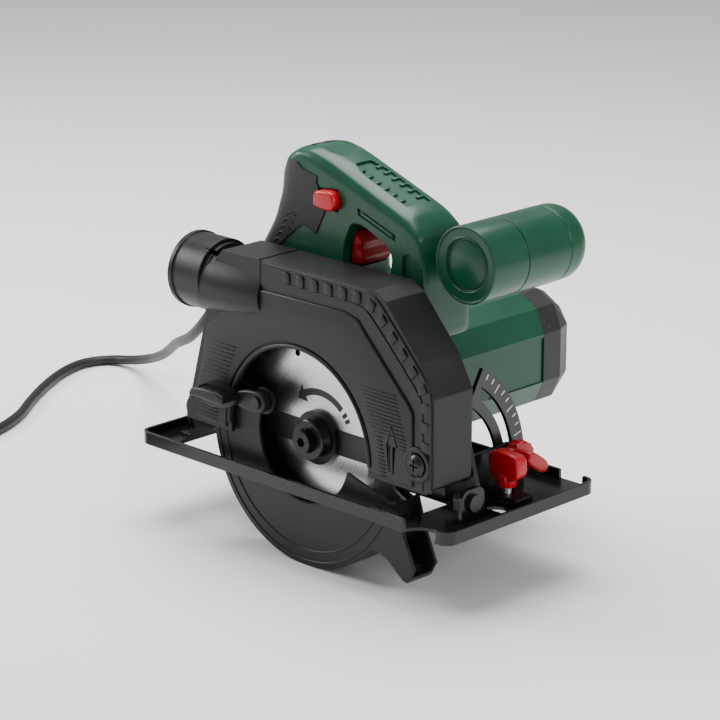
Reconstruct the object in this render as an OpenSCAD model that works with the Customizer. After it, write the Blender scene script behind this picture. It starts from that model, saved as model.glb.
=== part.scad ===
// Hand-held circular saw for wood: sole, tilt frame, saw head, blade and guards.
// Frame: +X is the cutting direction, +Y the motor side, +Z up.
// x = 0 on the blade's axis, y = 0 in the middle of the blade, z = 0 under the sole.

/* [Blade and guards] */
// Diameter of the saw blade
blade_d = 140; // [130:1:168]
// Depth of cut with the head fully down
cut_depth = 42; // [36:1:43]
// Thickness of the blade body
blade_t = 1.8; // [1.2:0.1:2.2]
// Number of blade teeth
blade_teeth = 20; // [12:2:40]
// Gap between the blade teeth and the lower guard's rim
rim_gap = 1.8; // [1.5:0.1:3]
// Wall of the lower guard
lower_wall = 1.8; // [1.5:0.1:2.2]
// Wall of the upper guard
guard_wall = 2.5; // [2:0.1:3]
// Height of the upper guard over the lower guard's rim
guard_head = 27.4; // [24:0.2:34]
// Radius of the round window in the upper guard
window_r = 55; // [46:1:58]

/* [Sole] */
// Width of the sole plate
sole_w = 123; // [116:1:160]
// How far the sole reaches past the blade, away from the motor
sole_side = 25; // [24:1:30]
// Length of the sole in front of the upper guard
sole_front = 17; // [15:1:40]
// Length of the sole behind the upper guard
sole_rear = 36; // [34:1:60]
// Thickness of the sole plate
sole_t = 2; // [1.5:0.1:2.4]
// Height of the folded lip
lip_h = 7.5; // [5:0.5:9]

/* [Motor] */
// Width of the motor housing
motor_w = 80; // [76:1:90]
// Length of the green motor housing
motor_l = 98; // [96:1:120]
// Length of the end cap
cap_l = 26.5; // [26:0.5:36]
// Wall of the motor housing
motor_wall = 2.5; // [2:0.1:3]
// Teeth of the motor pinion
pinion_teeth = 15; // [13:1:16]
// Teeth of the driven gear
gear_teeth = 29; // [27:1:30]
// Gear module
gear_module = 1.5; // [1.4:0.05:1.55]

/* [Handles] */
// Width of the rear handle across the blade plane
grip_w = 37; // [34:1:46]
// Wall of the rear handle
grip_wall = 2.6; // [2:0.1:3.2]
// Diameter of the front handle
front_d = 43.4; // [38:0.2:46]
// Length of the front handle
front_l = 81; // [68:1:98]
// Diameter of the dust port
port_d = 43.6; // [38:0.2:46]
// Bore of the dust port
port_bore = 36; // [30:0.5:38]

/* [Bevel and depth] */
// Radius of the bevel quadrant
quadrant_r = 71.8; // [70:0.2:74]
// Thickness of the bevel quadrant
quadrant_t = 2.5; // [2:0.1:3]
// Diameter of the tilt pins
tilt_pin_d = 6; // [5:0.5:6]
// Thickness of the depth arc
arc_t = 2.5; // [2:0.1:2.6]

/* [Cord] */
// Diameter of the power cord
cord_d = 6.6; // [6:0.1:7.4]

/* [Hidden] */
$fn = 64;

// clearances
fit = 0.05;        // running fit of a pin or a hub, on the radius
gap = 0.4;         // plain gap between pieces of different bodies
seam = 0.15;       // seam between two covers

// heights and centres
axis_z = blade_d/2 - cut_depth;
rim_r = blade_d/2 + rim_gap + lower_wall;
guard_top = axis_z + rim_r + guard_head;
guard_front = rim_r + 30.4;
guard_rear = -(rim_r + 18.4);
guard_near = -18;
guard_far = 12;
lower_near = -14;
lower_far = 5;
guard_foot = 22;   // height of the upper guard's lower edge

// gears and motor
gear_dist = gear_module*(pinion_teeth + gear_teeth)/2;
motor_z = axis_z + 30;
motor_x = sqrt(gear_dist*gear_dist - 900);
gear_r = gear_module*gear_teeth/2;
pinion_r = gear_module*pinion_teeth/2;
mesh_angle = atan2(30, motor_x);
gear_y0 = guard_far;
motor_y0 = 30.5;
seam_y = motor_y0 + motor_l;
cap_y1 = seam_y + cap_l;
motor_top = motor_z + 35;
motor_foot = motor_z - 28;
stator_r = 25.4;

// tilt axis along X, depth axis along Y
tilt_y = 6;
tilt_z = 15;
pivot_x = guard_front - 12;
pivot_z = axis_z + 10;
sole_x0 = guard_rear - sole_rear;
sole_x1 = guard_front + sole_front;
sole_y0 = -sole_side;
sole_y1 = sole_w - sole_side;
lug_front = guard_front + 4;
lug_rear = guard_rear - 18;
clamp_x = guard_rear + 5;
clamp_z = axis_z + 3;
arc_r = norm([pivot_x - clamp_x, pivot_z - clamp_z]);
clamp_angle = asin((clamp_z - pivot_z)/arc_r);
arc_y0 = 19;
plate_y0 = 12.6;
quad_x0 = guard_front - 22;
quad_slot_r = 59;
quad_slot_w = 6.8;
knob_angle = 7;
knob_y = tilt_y + quad_slot_r*cos(knob_angle);
knob_z = tilt_z + quad_slot_r*sin(knob_angle);
slot_x0 = guard_rear - 15;
slot_x1 = rim_r + 5;
fence_x = guard_front - 0.5;
fence_y = 41.5;

// handles
grip_y0 = guard_far + 4.5;
grip_mid = grip_y0 + grip_w/2;
grip_y1 = grip_y0 + grip_w;
front_x = guard_front - 14;
front_z = guard_top + 12;
front_y0 = guard_far + 8;
port_y = -4;
port_z = guard_top - port_d/2 + 1.3;
port_x0 = guard_rear - 6;

// fixings of the saw head
hub_r = 20.7;
hub_hole_r = 24;
screw_places = [[-36, motor_z + 12], [58, motor_z + 8], [-30, axis_z - 2], [40, axis_z + 4]];
stop_r = 43;
stop_angle = 160;
stop_at = [stop_r*cos(stop_angle), axis_z + stop_r*sin(stop_angle)];
handle_screws = [[-50, guard_top - 4], [-44, guard_top + 48], [50, motor_top + 12], [50, guard_top + 14]];
lock_z = axis_z + 16;
lock_x = 44;       // inner face of the spindle lock's cap
lock_y = 20;
lock_r = 2.5;
flank_x = motor_w/2 - motor_wall;

// ---------- shared shapes ----------

// an outline in X and Z, made solid from y0 to y1
module along_y(y0, y1) translate([0, y1, 0]) rotate([90, 0, 0]) linear_extrude(y1 - y0) children();

// an outline in Y and Z, made solid from x0 to x1
module along_x(x0, x1) translate([x0, 0, 0]) rotate([90, 0, 90]) linear_extrude(x1 - x0) children();

module rod_y(r, y0, y1, x, z) translate([x, y1, z]) rotate([90, 0, 0]) cylinder(r = r, h = y1 - y0);
module rod_x(r, x0, x1, y, z) translate([x0, y, z]) rotate([0, 90, 0]) cylinder(r = r, h = x1 - x0);
module rod_z(r, z0, z1, x, y) translate([x, y, z0]) cylinder(r = r, h = z1 - z0);
module block(a, b) translate(a) cube(b - a);

module tube_y(r1, r0, y0, y1, x, z) difference() {
    rod_y(r1, y0, y1, x, z);
    rod_y(r0, y0 - 1, y1 + 1, x, z);
}

// rectangle with round corners
module round_rect(x0, y0, x1, y1, r) {
    translate([x0 + r, y0]) square([x1 - x0 - 2*r, y1 - y0]);
    translate([x0, y0 + r]) square([x1 - x0, y1 - y0 - 2*r]);
    for (x = [x0 + r, x1 - r], y = [y0 + r, y1 - r]) translate([x, y]) circle(r);
}

// part of a flat ring between two angles, round the origin
function sector_points(r, a0, a1, n) = [for (i = [0:n]) let (a = a0 + (a1 - a0)*i/n) [r*cos(a), r*sin(a)]];
module ring_part(r0, r1, a0, a1) intersection() {
    difference() { circle(r1, $fn = 128); circle(r0, $fn = 128); }
    polygon(concat([[0, 0]], sector_points(r1*1.5, a0, a1, 12)));
}

// gear outline with straight-sided teeth
module gear_outline(teeth, m) {
    root = [m*teeth/2 - 1.15*m, 180/teeth*0.5];
    tip = [m*teeth/2 + 0.75*m, 180/teeth*0.22];
    corners = [[root[0], -root[1]], [tip[0], -tip[1]], [tip[0], tip[1]], [root[0], root[1]]];
    polygon([for (i = [0:teeth - 1], c = corners) c[0]*[cos(i*360/teeth + c[1]), sin(i*360/teeth + c[1])]]);
}

// outline of the upper guard, drawn in by inset
function guard_points(inset, foot) = [
    [guard_rear + inset, foot], [guard_rear - 2 + inset, axis_z + 1], [guard_rear + 4 + inset, axis_z + 14],
    [guard_rear + 14 + inset, axis_z + 50], [guard_rear + 18 + inset, axis_z + 66],
    [guard_rear + 18 + inset, guard_top - 14], [guard_rear + 32, guard_top - inset],
    [guard_front - 44, guard_top - inset], [guard_front - 36 - inset*0.4, guard_top - 5 - inset*0.4],
    [guard_front - 10 - inset*0.8, guard_top - 34 - inset*0.8], [guard_front - inset, guard_top - 52],
    [guard_front - inset, foot + 5], [guard_front - 6 - inset, foot]];

// outline of the motor housing, drawn in by inset
function motor_points(inset) = let (w = motor_w/2 - inset, t = motor_top - motor_z - inset, b = 28 - inset) [
    [-w + 6, -b], [w - 6, -b], [w, -15], [w, 14], [w - 6, t - 7], [w - 18, t],
    [-w + 18, t], [-w + 6, t - 7], [-w, 14], [-w, -15]];
module motor_outline(inset) translate([motor_x, motor_z]) polygon(motor_points(inset));

// side outline of the D-shaped rear handle
handle_points = [[-74, guard_top - 9], [-72, guard_top + 12], [-65, guard_top + 34], [-58, guard_top + 48],
    [-46, guard_top + 56], [-28, guard_top + 59], [-12, guard_top + 56], [48, guard_top + 33],
    [58, guard_top + 24], [64, guard_top + 7], [64, motor_top - 2], [52, motor_top],
    [-18, motor_top], [-40, motor_top + 9], [-66, guard_top - 15]];
hole_points = [[4, guard_top - 17], [2, guard_top + 6], [7, guard_top + 22], [16, guard_top + 23],
    [40, guard_top + 11], [37, guard_top - 10], [33, guard_top - 17]];

// ---------- sole ----------

module slot_outline() round_rect(slot_x0, -19, slot_x1, 24, 4);
module sight_notch() translate([guard_front - 4, sole_y0]) circle(11.5);

module sole_plate() color([0.06, 0.06, 0.065]) difference() {
    union() {
        linear_extrude(sole_t) round_rect(sole_x0, sole_y0, sole_x1, sole_y1, 7);
        linear_extrude(lip_h) difference() {
            round_rect(sole_x0, sole_y0, sole_x1, sole_y1, 7);
            round_rect(sole_x0 + 2, sole_y0 + 2, sole_x1 - 2, sole_y1 - 2, 5);
        }
        // stiffening bead along the blade slot
        block([slot_x0 + 6, -20.6, 0], [slot_x1 - 4, -19, sole_t + 2]);
    }
    translate([0, 0, -1]) linear_extrude(lip_h + 2) slot_outline();
    translate([0, 0, -1]) linear_extrude(lip_h + 2) sight_notch();
    // half-round look-through beside the rip-fence screw
    translate([0, 0, -1]) linear_extrude(sole_t + 2) intersection() {
        translate([fence_x + 2, 31]) circle(8);
        translate([fence_x - 8, 31]) square([20, 12]);
    }
    // gaps in the far and near lips for the rip-fence arm
    for (y = [sole_y1 - 3, sole_y0 - 1]) block([fence_x - 8.5, y, sole_t], [fence_x + 8.5, y + 4, lip_h + 1]);
}

module hinge_lugs() color([0.1, 0.1, 0.1]) for (x = [lug_front, lug_rear], foot = x < 0 ? -6 : 0) difference() {
    union() {
        along_x(x, x + 3) round_rect(tilt_y - 9, sole_t, tilt_y + 9, tilt_z + 8, 5);
        block([x + foot, tilt_y - 9, sole_t], [x + foot + 9, tilt_y + 9, sole_t + 2]);
    }
    rod_x(tilt_pin_d/2 + fit, x - 1, x + 4, tilt_y, tilt_z);
}

module tilt_pins() color("silver") for (x = [lug_front, lug_rear]) {
    s = x == lug_front ? 1 : 0;
    rod_x(tilt_pin_d/2, x - 5*s, x + 3 + 5*(1 - s) + 1.5*s, tilt_y, tilt_z);
    rod_x(tilt_pin_d/2 + 2, x + 3 - (1 - s)*5.5, x + 5.5 - (1 - s)*5.5, tilt_y, tilt_z);
}

module bevel_quadrant() color([0.12, 0.12, 0.12]) difference() {
    union() {
        translate([0, tilt_y, tilt_z]) along_x(quad_x0, quad_x0 + quadrant_t)
            ring_part(quad_slot_r - quad_slot_w/2 - 6, quadrant_r, -2, 60);
        block([quad_x0, 56, sole_t], [quad_x0 + quadrant_t, tilt_y + quadrant_r, tilt_z]);
        block([quad_x0 - 10, 56, sole_t], [quad_x0 + quadrant_t, tilt_y + quadrant_r, sole_t + 2.5]);
    }
    translate([0, tilt_y, tilt_z]) along_x(quad_x0 - 1, quad_x0 + quadrant_t + 1)
        ring_part(quad_slot_r - quad_slot_w/2, quad_slot_r + quad_slot_w/2, 2, 56);
    for (y = [60, 73]) rod_z(2, 0, sole_t + 5, quad_x0 - 5, y);
}

module quadrant_rivets() color("silver") for (y = [60, 73]) {
    rod_z(2, sole_t, sole_t + 2.5, quad_x0 - 5, y);
    rod_z(3.4, sole_t + 2.5, sole_t + 4, quad_x0 - 5, y);
}

// raised strap that holds the rip-fence arm under the screw
module fence_clamp() color([0.1, 0.1, 0.1]) difference() {
    block([fence_x - 13, fence_y - 7, sole_t], [fence_x + 13, fence_y + 7, sole_t + 8]);
    block([fence_x - 8.5, fence_y - 8, sole_t - 1], [fence_x + 8.5, fence_y + 8, sole_t + 5]);
    rod_z(2.5 + fit, 0, 20, fence_x, fence_y);
}

module fence_screw() color("silver") rod_z(2.5, sole_t + 5.2, sole_t + 22, fence_x, fence_y);

module fence_knob() color([0.75, 0.08, 0.1]) difference() {
    union() {
        rod_z(5.5, sole_t + 13, sole_t + 22, fence_x, fence_y);
        translate([0, fence_y + 3.5, 0]) rotate([90, 0, 0]) linear_extrude(7)
            polygon([[fence_x - 10.5, sole_t + 20], [fence_x - 10.5, sole_t + 29], [fence_x - 7, sole_t + 32],
                [fence_x + 11, sole_t + 31], [fence_x + 12, sole_t + 20], [fence_x + 5, sole_t + 15],
                [fence_x - 5, sole_t + 15]]);
    }
    rod_z(2.5, sole_t + 12, sole_t + 22, fence_x, fence_y);
}

// ---------- tilt frame ----------

module tilt_frame() color([0.09, 0.09, 0.1]) difference() {
    union() {
        // front ear, cheek up to the depth pivot and arm to the bevel bolt
        along_x(lug_front - 4.5, lug_front - gap) round_rect(tilt_y - 8, tilt_z - 7, tilt_y + 12, tilt_z + 5.6, 4);
        along_y(plate_y0, plate_y0 + 3) polygon([[lug_front - gap, tilt_z - 7], [lug_front - gap, tilt_z + 5],
            [pivot_x + 9, pivot_z + 4], [pivot_x + 4, pivot_z + 8], [pivot_x - 4, pivot_z + 8],
            [pivot_x - 8, pivot_z + 3], [pivot_x - 8, tilt_z - 7]]);
        along_x(quad_x0 + quadrant_t + gap, quad_x0 + quadrant_t + gap + 2.5)
            polygon([[plate_y0 + 0.5, tilt_z - 7], [plate_y0 + 0.5, tilt_z + 14], [knob_y - 3, knob_z + 8],
                [knob_y + 7, knob_z + 5], [knob_y + 7, knob_z - 5], [knob_y, tilt_z - 7]]);
        // rail along the slot, under the gearbox
        block([lug_rear + 3 + gap, 33, 5], [quad_x0 + quadrant_t + gap + 2.5, 36, 12]);
        block([quad_x0 - 4, 33, 5], [quad_x0 + quadrant_t + gap + 2.5, 36, tilt_z]);
        // rear upright
        along_x(lug_rear + 3 + gap, lug_rear + 6 + gap)
            polygon([[tilt_y - 8, tilt_z - 7], [tilt_y - 8, tilt_z + 7], [tilt_y + 6, tilt_z + 12],
                [36, tilt_z + 12], [36, 5], [tilt_y + 2, 5]]);
    }
    for (x = [lug_front, lug_rear]) rod_x(tilt_pin_d/2 + fit, x - 8, x + 12, tilt_y, tilt_z);
    rod_y(3 + fit, plate_y0 - 1, plate_y0 + 4, pivot_x, pivot_z);
    rod_x(3, quad_x0, quad_x0 + 8, knob_y, knob_z);
}

module depth_arc() color([0.14, 0.14, 0.15]) difference() {
    union() {
        translate([pivot_x, 0, pivot_z]) along_y(arc_y0, arc_y0 + arc_t) ring_part(arc_r - 7, arc_r + 7, 156.5, 184.5);
        along_y(arc_y0, arc_y0 + arc_t) polygon([[lug_rear + 6 + gap, 7], [lug_rear + 6 + gap, tilt_z + 12],
            [clamp_x - 4, clamp_z - 2], [clamp_x + 7, clamp_z - 8], [clamp_x + 4, 10]]);
    }
    translate([pivot_x, 0, pivot_z]) along_y(arc_y0 - 1, arc_y0 + arc_t + 1) ring_part(arc_r - 3.1, arc_r + 3.1, 158.6, 183.4);
}

module depth_pin() color("silver") {
    rod_y(3, guard_near + guard_wall - 0.6, plate_y0 + 5, pivot_x, pivot_z);
    rod_y(6, guard_near - 1.5, guard_near + guard_wall - 0.5, pivot_x, pivot_z);
    rod_y(5.5, plate_y0 + 3 + gap, plate_y0 + 6.5, pivot_x, pivot_z);
}

// ---------- saw head: covers ----------

module upper_guard() color([0.13, 0.13, 0.14]) difference() {
    union() {
        difference() {
            along_y(guard_near, guard_far) polygon(guard_points(0, guard_foot));
            along_y(guard_near + guard_wall, guard_far - guard_wall + 0.1)
                polygon(guard_points(guard_wall, guard_foot - 30));
        }
        // posts for the depth pivot and the depth clamp
        rod_y(6.5, guard_near + 0.5, guard_far - 0.5, pivot_x, pivot_z);
        rod_y(5, guard_near + 0.5, guard_far - 0.5, clamp_x, clamp_z);
        // round collar that takes the dust port
        rod_x(port_d/2 - 2, guard_rear + 4, guard_rear + 22, port_y, port_z);
    }
    rod_y(window_r, guard_near - 1, guard_near + guard_wall + 1, 0, axis_z, $fn = 128);
    rod_y(hub_hole_r, guard_far - guard_wall - 1, guard_far + 1, 0, axis_z);
    rod_x(port_bore/2 - 2, guard_rear, guard_rear + 40, port_y, port_z);
    rod_y(3 + fit, guard_near - 1, guard_far + 1, pivot_x, pivot_z);
    rod_y(6.1, guard_near - 1, guard_near + guard_wall - 0.5, pivot_x, pivot_z);
    rod_y(3 + fit, guard_near - 1, guard_far + 1, clamp_x, clamp_z);
    for (p = screw_places) rod_y(2, guard_far - guard_wall - 1, guard_far + 1, p[0], p[1]);
}

module dust_port() color([0.12, 0.12, 0.125]) difference() {
    union() {
        rod_x(port_d/2, port_x0, guard_rear + 19, port_y, port_z);
        rod_x(port_d/2 + 0.8, port_x0, port_x0 + 3, port_y, port_z);
    }
    rod_x(port_bore/2, port_x0 - 1, guard_rear + 3, port_y, port_z);
    rod_x(port_d/2 - 2, guard_rear + 3, guard_rear + 23, port_y, port_z);
    // the guard's own roof and wall pass through the sleeve
    along_y(guard_near - 0.1, guard_far + 0.1) polygon(guard_points(0, guard_foot));
}

// gear case between the upper guard and the motor
module case_outline(grow) {
    circle(23.6 + grow);
    translate([motor_x, 30]) circle(25.5 + grow);
    polygon([for (s = [-1, 1], k = (s < 0 ? [0, 1] : [1, 0])) k == 0
        ? (23.6 + grow)*[cos(mesh_angle + 90*s), sin(mesh_angle + 90*s)]
        : [motor_x, 30] + (25.5 + grow)*[cos(mesh_angle + 90*s), sin(mesh_angle + 90*s)]]);
}

module gear_housing() color([0.25, 0.25, 0.26]) difference() {
    union() {
        translate([0, 0, axis_z]) along_y(gear_y0, 28) intersection() {
            case_outline(1.6);
            translate([-60, 3.6 - axis_z]) square([140, 120]);
        }
        // hub that carries the front bearing and the lower guard
        rod_y(hub_r, 2.4, gear_y0 + 1, 0, axis_z);
        // sleeve for the spindle lock
        rod_x(5.5, 30, lock_x - 3, lock_y, lock_z);
        // ears for the guard screws
        for (p = screw_places) rod_y(5, gear_y0, gear_y0 + 8, p[0], p[1]);
        for (p = screw_places) along_y(gear_y0, gear_y0 + 3) polygon([[p[0], p[1] - 5], [p[0], p[1] + 5],
            [motor_x*0.5, p[1] + 6], [motor_x*0.5, p[1] - 6]]);
    }
    translate([0, 0, axis_z]) along_y(gear_y0 + 2, 29) intersection() {
        case_outline(0);
        translate([-60, 5 - axis_z]) square([140, 120]);
    }
    rod_y(14, 3.8, gear_y0 + 3, 0, axis_z);
    rod_y(8.5, 1, 5, 0, axis_z);
    for (p = screw_places) rod_y(2, gear_y0 - 1, gear_y0 + 9, p[0], p[1]);
    // groove for the ring that keeps the lower guard on the hub
    tube_y(22, 19.2, 2.8, 3.8, 0, axis_z);
    rod_x(lock_r + fit, 20, 60, lock_y, lock_z);
}

module gear_cover() color([0.6, 0.6, 0.62]) difference() {
    union() {
        translate([0, 0, axis_z]) along_y(28, motor_y0) intersection() {
            case_outline(1.6);
            translate([-60, 3.6 - axis_z]) square([140, 120]);
        }
        rod_y(11, 25, 28.5, 0, axis_z);
    }
    rod_y(9, 24, 29.5, 0, axis_z);
    rod_y(11, 25, motor_y0 + 1, motor_x, motor_z);
}

module motor_housing() color([0.02, 0.28, 0.16]) difference() {
    along_y(motor_y0, seam_y) motor_outline(0);
    along_y(motor_y0 + 2.5, seam_y + 1) motor_outline(motor_wall);
    rod_y(11, motor_y0 - 1, motor_y0 + 4, motor_x, motor_z);
    // recessed panel on the front flank
    block([motor_x + motor_w/2 - 1, motor_y0 + 50, motor_z - 15], [motor_x + motor_w/2 + 1, seam_y + 1, motor_z + 12]);
    // air outlets on the underside and the rear flank
    for (i = [0:4]) block([motor_x - 24 + i*11, motor_y0 + 8, motor_foot - 1], [motor_x - 19 + i*11, motor_y0 + 24, motor_foot + 4]);
    for (i = [0:3]) block([motor_x - motor_w/2 - 1, motor_y0 + 8, motor_z - 12 + i*7],
        [motor_x - motor_w/2 + 5, motor_y0 + 26, motor_z - 9 + i*7]);
}

module end_cap() color([0.16, 0.16, 0.17]) difference() {
    union() {
        difference() {
            union() {
                along_y(seam_y + seam, cap_y1 - 11.5) motor_outline(0);
                hull() {
                    along_y(cap_y1 - 11.6, cap_y1 - 11.5) motor_outline(0);
                    along_y(cap_y1 - 0.1, cap_y1) motor_outline(5);
                }
            }
            along_y(seam_y - 1, cap_y1 - 11.5) motor_outline(motor_wall);
            hull() {
                along_y(cap_y1 - 11.6, cap_y1 - 11.5) motor_outline(motor_wall);
                along_y(cap_y1 - motor_wall - 0.1, cap_y1 - motor_wall) motor_outline(5 + motor_wall);
            }
        }
        // bearing pocket and its spokes
        rod_y(12.5, seam_y + 4, cap_y1 - 1, motor_x, motor_z);
        for (x = [-1, 1]) block([motor_x + min(x*36, 0), seam_y + 8, motor_z - 1.5], [motor_x + max(x*36, 0), cap_y1 - 2, motor_z + 1.5]);
    }
    rod_y(9.5, seam_y + 3, seam_y + 11, motor_x, motor_z);
    rod_y(5, seam_y + 3, seam_y + 16, motor_x, motor_z);
    // air inlets in the end face
    for (i = [-4:4]) block([motor_x + i*6.2 - 1.5, cap_y1 - 4, motor_z + 15], [motor_x + i*6.2 + 1.5, cap_y1 + 1, motor_z + 24]);
    for (i = [-4:4]) block([motor_x + i*6.2 - 1.5, cap_y1 - 4, motor_z - 20], [motor_x + i*6.2 + 1.5, cap_y1 + 1, motor_z - 14]);
}

// ---------- saw head: handles ----------

module handle_shell(y0, y1, wall_near) difference() {
    along_y(y0, y1) difference() {
        polygon(handle_points);
        polygon(hole_points);
    }
    // hollow of the grip, behind and under the finger gap
    along_y(wall_near ? y0 + grip_wall : y0 - 1, wall_near ? y1 + 1 : y1 - grip_wall) {
        polygon([[-70, guard_top - 7], [-68, guard_top + 12], [-61, guard_top + 34], [-54, guard_top + 47],
            [-44, guard_top + 52], [-28, guard_top + 55], [-13, guard_top + 52], [12, guard_top + 43],
            [8, guard_top + 27], [2, guard_top + 24], [-3, guard_top + 6], [-1, guard_top - 21],
            [-38, guard_top - 21]]);
        polygon([[-34, motor_top + 9], [-16, motor_top + 4], [50, motor_top + 4], [60, motor_top + 8],
            [60, guard_top + 6], [54, guard_top + 20], [42, guard_top + 28], [44, guard_top + 12],
            [41, guard_top - 12], [36, guard_top - 21], [-37, guard_top - 20.9]]);
    }
    block([-9, y0 - 1, guard_top - 6], [8, y1 + 1, guard_top + 17]);
}

module handle_left() color([0.02, 0.3, 0.17]) difference() {
    union() {
        handle_shell(grip_y0, grip_mid - seam/2, true);
        for (p = handle_screws) rod_y(3.5, grip_y0 + 1, grip_mid - seam/2, p[0], p[1]);
    }
    for (p = handle_screws) rod_y(1.6, grip_y0 + grip_wall + 1.5, grip_mid + 1, p[0], p[1]);
    relief_hole();
    // window for the lock button
    along_y(grip_y0 - 1, grip_y0 + grip_wall + 1) polygon(button_points(gap));
}

module handle_right() color([0.02, 0.3, 0.17]) difference() {
    union() {
        handle_shell(grip_mid + seam/2, grip_y1, false);
        for (p = handle_screws) rod_y(3.5, grip_mid + seam/2, grip_y1 - 1, p[0], p[1]);
        // web that carries the front handle
        along_y(grip_mid + 2, grip_y1 - 2) polygon([[60, guard_top - 8], [60, guard_top + 26], [front_x - 8, front_z + 12],
            [front_x, front_z - front_d/2 + 8], [front_x - 6, front_z - front_d/2 - 2]]);
    }
    rod_y(front_d/2, grip_mid, grip_y1 + 1, front_x, front_z);
    for (p = handle_screws) {
        rod_y(1.6, grip_mid - 1, grip_y1 + 1, p[0], p[1]);
        rod_y(3, grip_y1 - 1, grip_y1 + 1, p[0], p[1]);
    }
    relief_hole();
}

// rubber pad round the back of the grip
pad_points = [[-74, guard_top - 9], [-72, guard_top + 12], [-65, guard_top + 34], [-59, guard_top + 46],
    [-20, guard_top + 38], [-22, guard_top + 22], [-30, guard_top + 12], [-40, guard_top + 16],
    [-52, guard_top + 2], [-60, guard_top - 10]];
module grip_cover() color([0.11, 0.11, 0.11]) for (y = [grip_y0 - 1.2, grip_y1]) along_y(y, y + 1.2)
    polygon(pad_points);

module front_handle() color([0.02, 0.3, 0.17]) difference() {
    rod_y(front_d/2, front_y0, front_y0 + front_l - 18, front_x, front_z);
    rod_y(front_d/2 - 3, front_y0 + 4, front_y0 + front_l, front_x, front_z);
    rod_y(front_d/2 - 5.5, front_y0 - 1, front_y0 + 1.5, front_x, front_z);
}

module front_handle_cap() color([0.02, 0.26, 0.15]) translate([front_x, front_y0 + front_l - 18, front_z]) rotate([-90, 0, 0])
    rotate_extrude() difference() {
        union() {
            square([front_d/2, 10]);
            square([front_d/2 - 8, 18]);
            translate([front_d/2 - 8, 10]) intersection() { circle(8); square(8); }
        }
        translate([0, -1]) square([front_d/2 - 8, 15]);
    }

// ---------- saw head: inside ----------

module stator() color([0.45, 0.45, 0.48]) union() {
    difference() {
        rod_y(stator_r, motor_y0 + 20, motor_y0 + 66, motor_x, motor_z);
        rod_y(16.3, motor_y0 + 19, motor_y0 + 67, motor_x, motor_z);
    }
    // pads that key into the housing
    for (s = [-1, 1]) block([motor_x + s*20 - 3, motor_y0 + 20, motor_foot + motor_wall],
        [motor_x + s*20 + 3, motor_y0 + 66, motor_z - 15.5]);
}

module brush_holders() color([0.55, 0.42, 0.2]) for (s = [-1, 1]) difference() {
    block([motor_x + min(s*14, s*flank_x), motor_y0 + 74, motor_z - 6],
        [motor_x + max(s*14, s*flank_x), motor_y0 + 85, motor_z + 6]);
    block([motor_x + min(s*13, s*(flank_x + 1)), motor_y0 + 76, motor_z - 4],
        [motor_x + max(s*13, s*(flank_x + 1)), motor_y0 + 83, motor_z + 4]);
}

module carbon_brushes() color([0.1, 0.1, 0.1]) for (s = [-1, 1])
    block([motor_x + min(s*11.9, s*27), motor_y0 + 76, motor_z - 4],
        [motor_x + max(s*11.9, s*27), motor_y0 + 83, motor_z + 4]);

module spindle_bearings() color("silver") {
    tube_y(14, 6 + fit, 3.8, 11.8, 0, axis_z);
    tube_y(9, 6 + fit, 25, 29.5, 0, axis_z);
}

module motor_bearings() color("silver") {
    tube_y(11, 4 + fit, 26, motor_y0 + 2, motor_x, motor_z);
    tube_y(9.5, 4 + fit, seam_y + 4, seam_y + 11, motor_x, motor_z);
}

module switch_block() color([0.2, 0.2, 0.2]) 
    block([-43, grip_y0 + grip_wall, guard_top - 4], [-12, grip_y1 - grip_wall, guard_top + 20]);

// return spring of the lower guard, wound round the hub
module guard_spring() color("silver") {
    for (k = [0:1]) translate([0, lower_far + 1.95 + k*1.3, axis_z]) rotate([-90, 0, 0])
        rotate_extrude() translate([hub_r + 0.69, 0]) circle(0.7);
    rod_y(0.7, lower_far + 3, gear_y0, hub_r + 0.69, axis_z);
}

module guard_ring() color("silver") tube_y(22.4, 19.2, 2.8, 3.8, 0, axis_z);

// rubber peg that the lower guard's stop lug rests on
module guard_bumper() color([0.08, 0.08, 0.08])
    rod_y(4, lower_far + gap, guard_far - guard_wall, stop_at[0], stop_at[1]);

module housing_screws() color("silver") for (p = handle_screws) {
    rod_y(1.6, grip_y0 + grip_wall + 2, grip_y1 - 1, p[0], p[1]);
    rod_y(3, grip_y1 - 1, grip_y1 + 0.4, p[0], p[1]);
}

module guard_screws() color("silver") for (p = screw_places) {
    rod_y(2, guard_far - guard_wall, gear_y0 + 8, p[0], p[1]);
    rod_y(3.6, guard_far - guard_wall - 2, guard_far - guard_wall, p[0], p[1]);
}

// ---------- blade spindle ----------

module spindle() color("silver") difference() {
    rod_y(6, -0.4, 29.4, 0, axis_z);
    rod_y(4, -1, 14, 0, axis_z);
}

module drive_gear() color([0.5, 0.5, 0.52]) difference() {
    translate([0, 0, axis_z]) along_y(15, 24) rotate(gear_phase) gear_outline(gear_teeth, gear_module);
    rod_y(6, 14, 25, 0, axis_z);
    tube_y(17, 10, 21, 25, 0, axis_z);
}
gear_phase = mesh_angle;

module inner_flange() color("silver") difference() {
    union() {
        rod_y(15.5, blade_t/2, 2, 0, axis_z);
        rod_y(8, -blade_t/2 + 0.1, blade_t/2 + 0.1, 0, axis_z);
    }
    rod_y(6, -2, 3, 0, axis_z);
}

// one tooth pitch of the blade edge: tip, back, gullet and the next tooth's face
tooth = [[1, 0], [0.972, -5], [0.925, -9.5], [0.868, -12.6], [0.853, -14.8], [0.872, -16.6], [0.93, -17.4]];
module blade_outline() let (pitch = 360/blade_teeth) polygon([for (i = [0:blade_teeth - 1], t = [len(tooth) - 1:-1:0])
    blade_d/2*tooth[t][0]*[cos(i*pitch + tooth[t][1]*pitch/18), sin(i*pitch + tooth[t][1]*pitch/18)]]);

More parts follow.
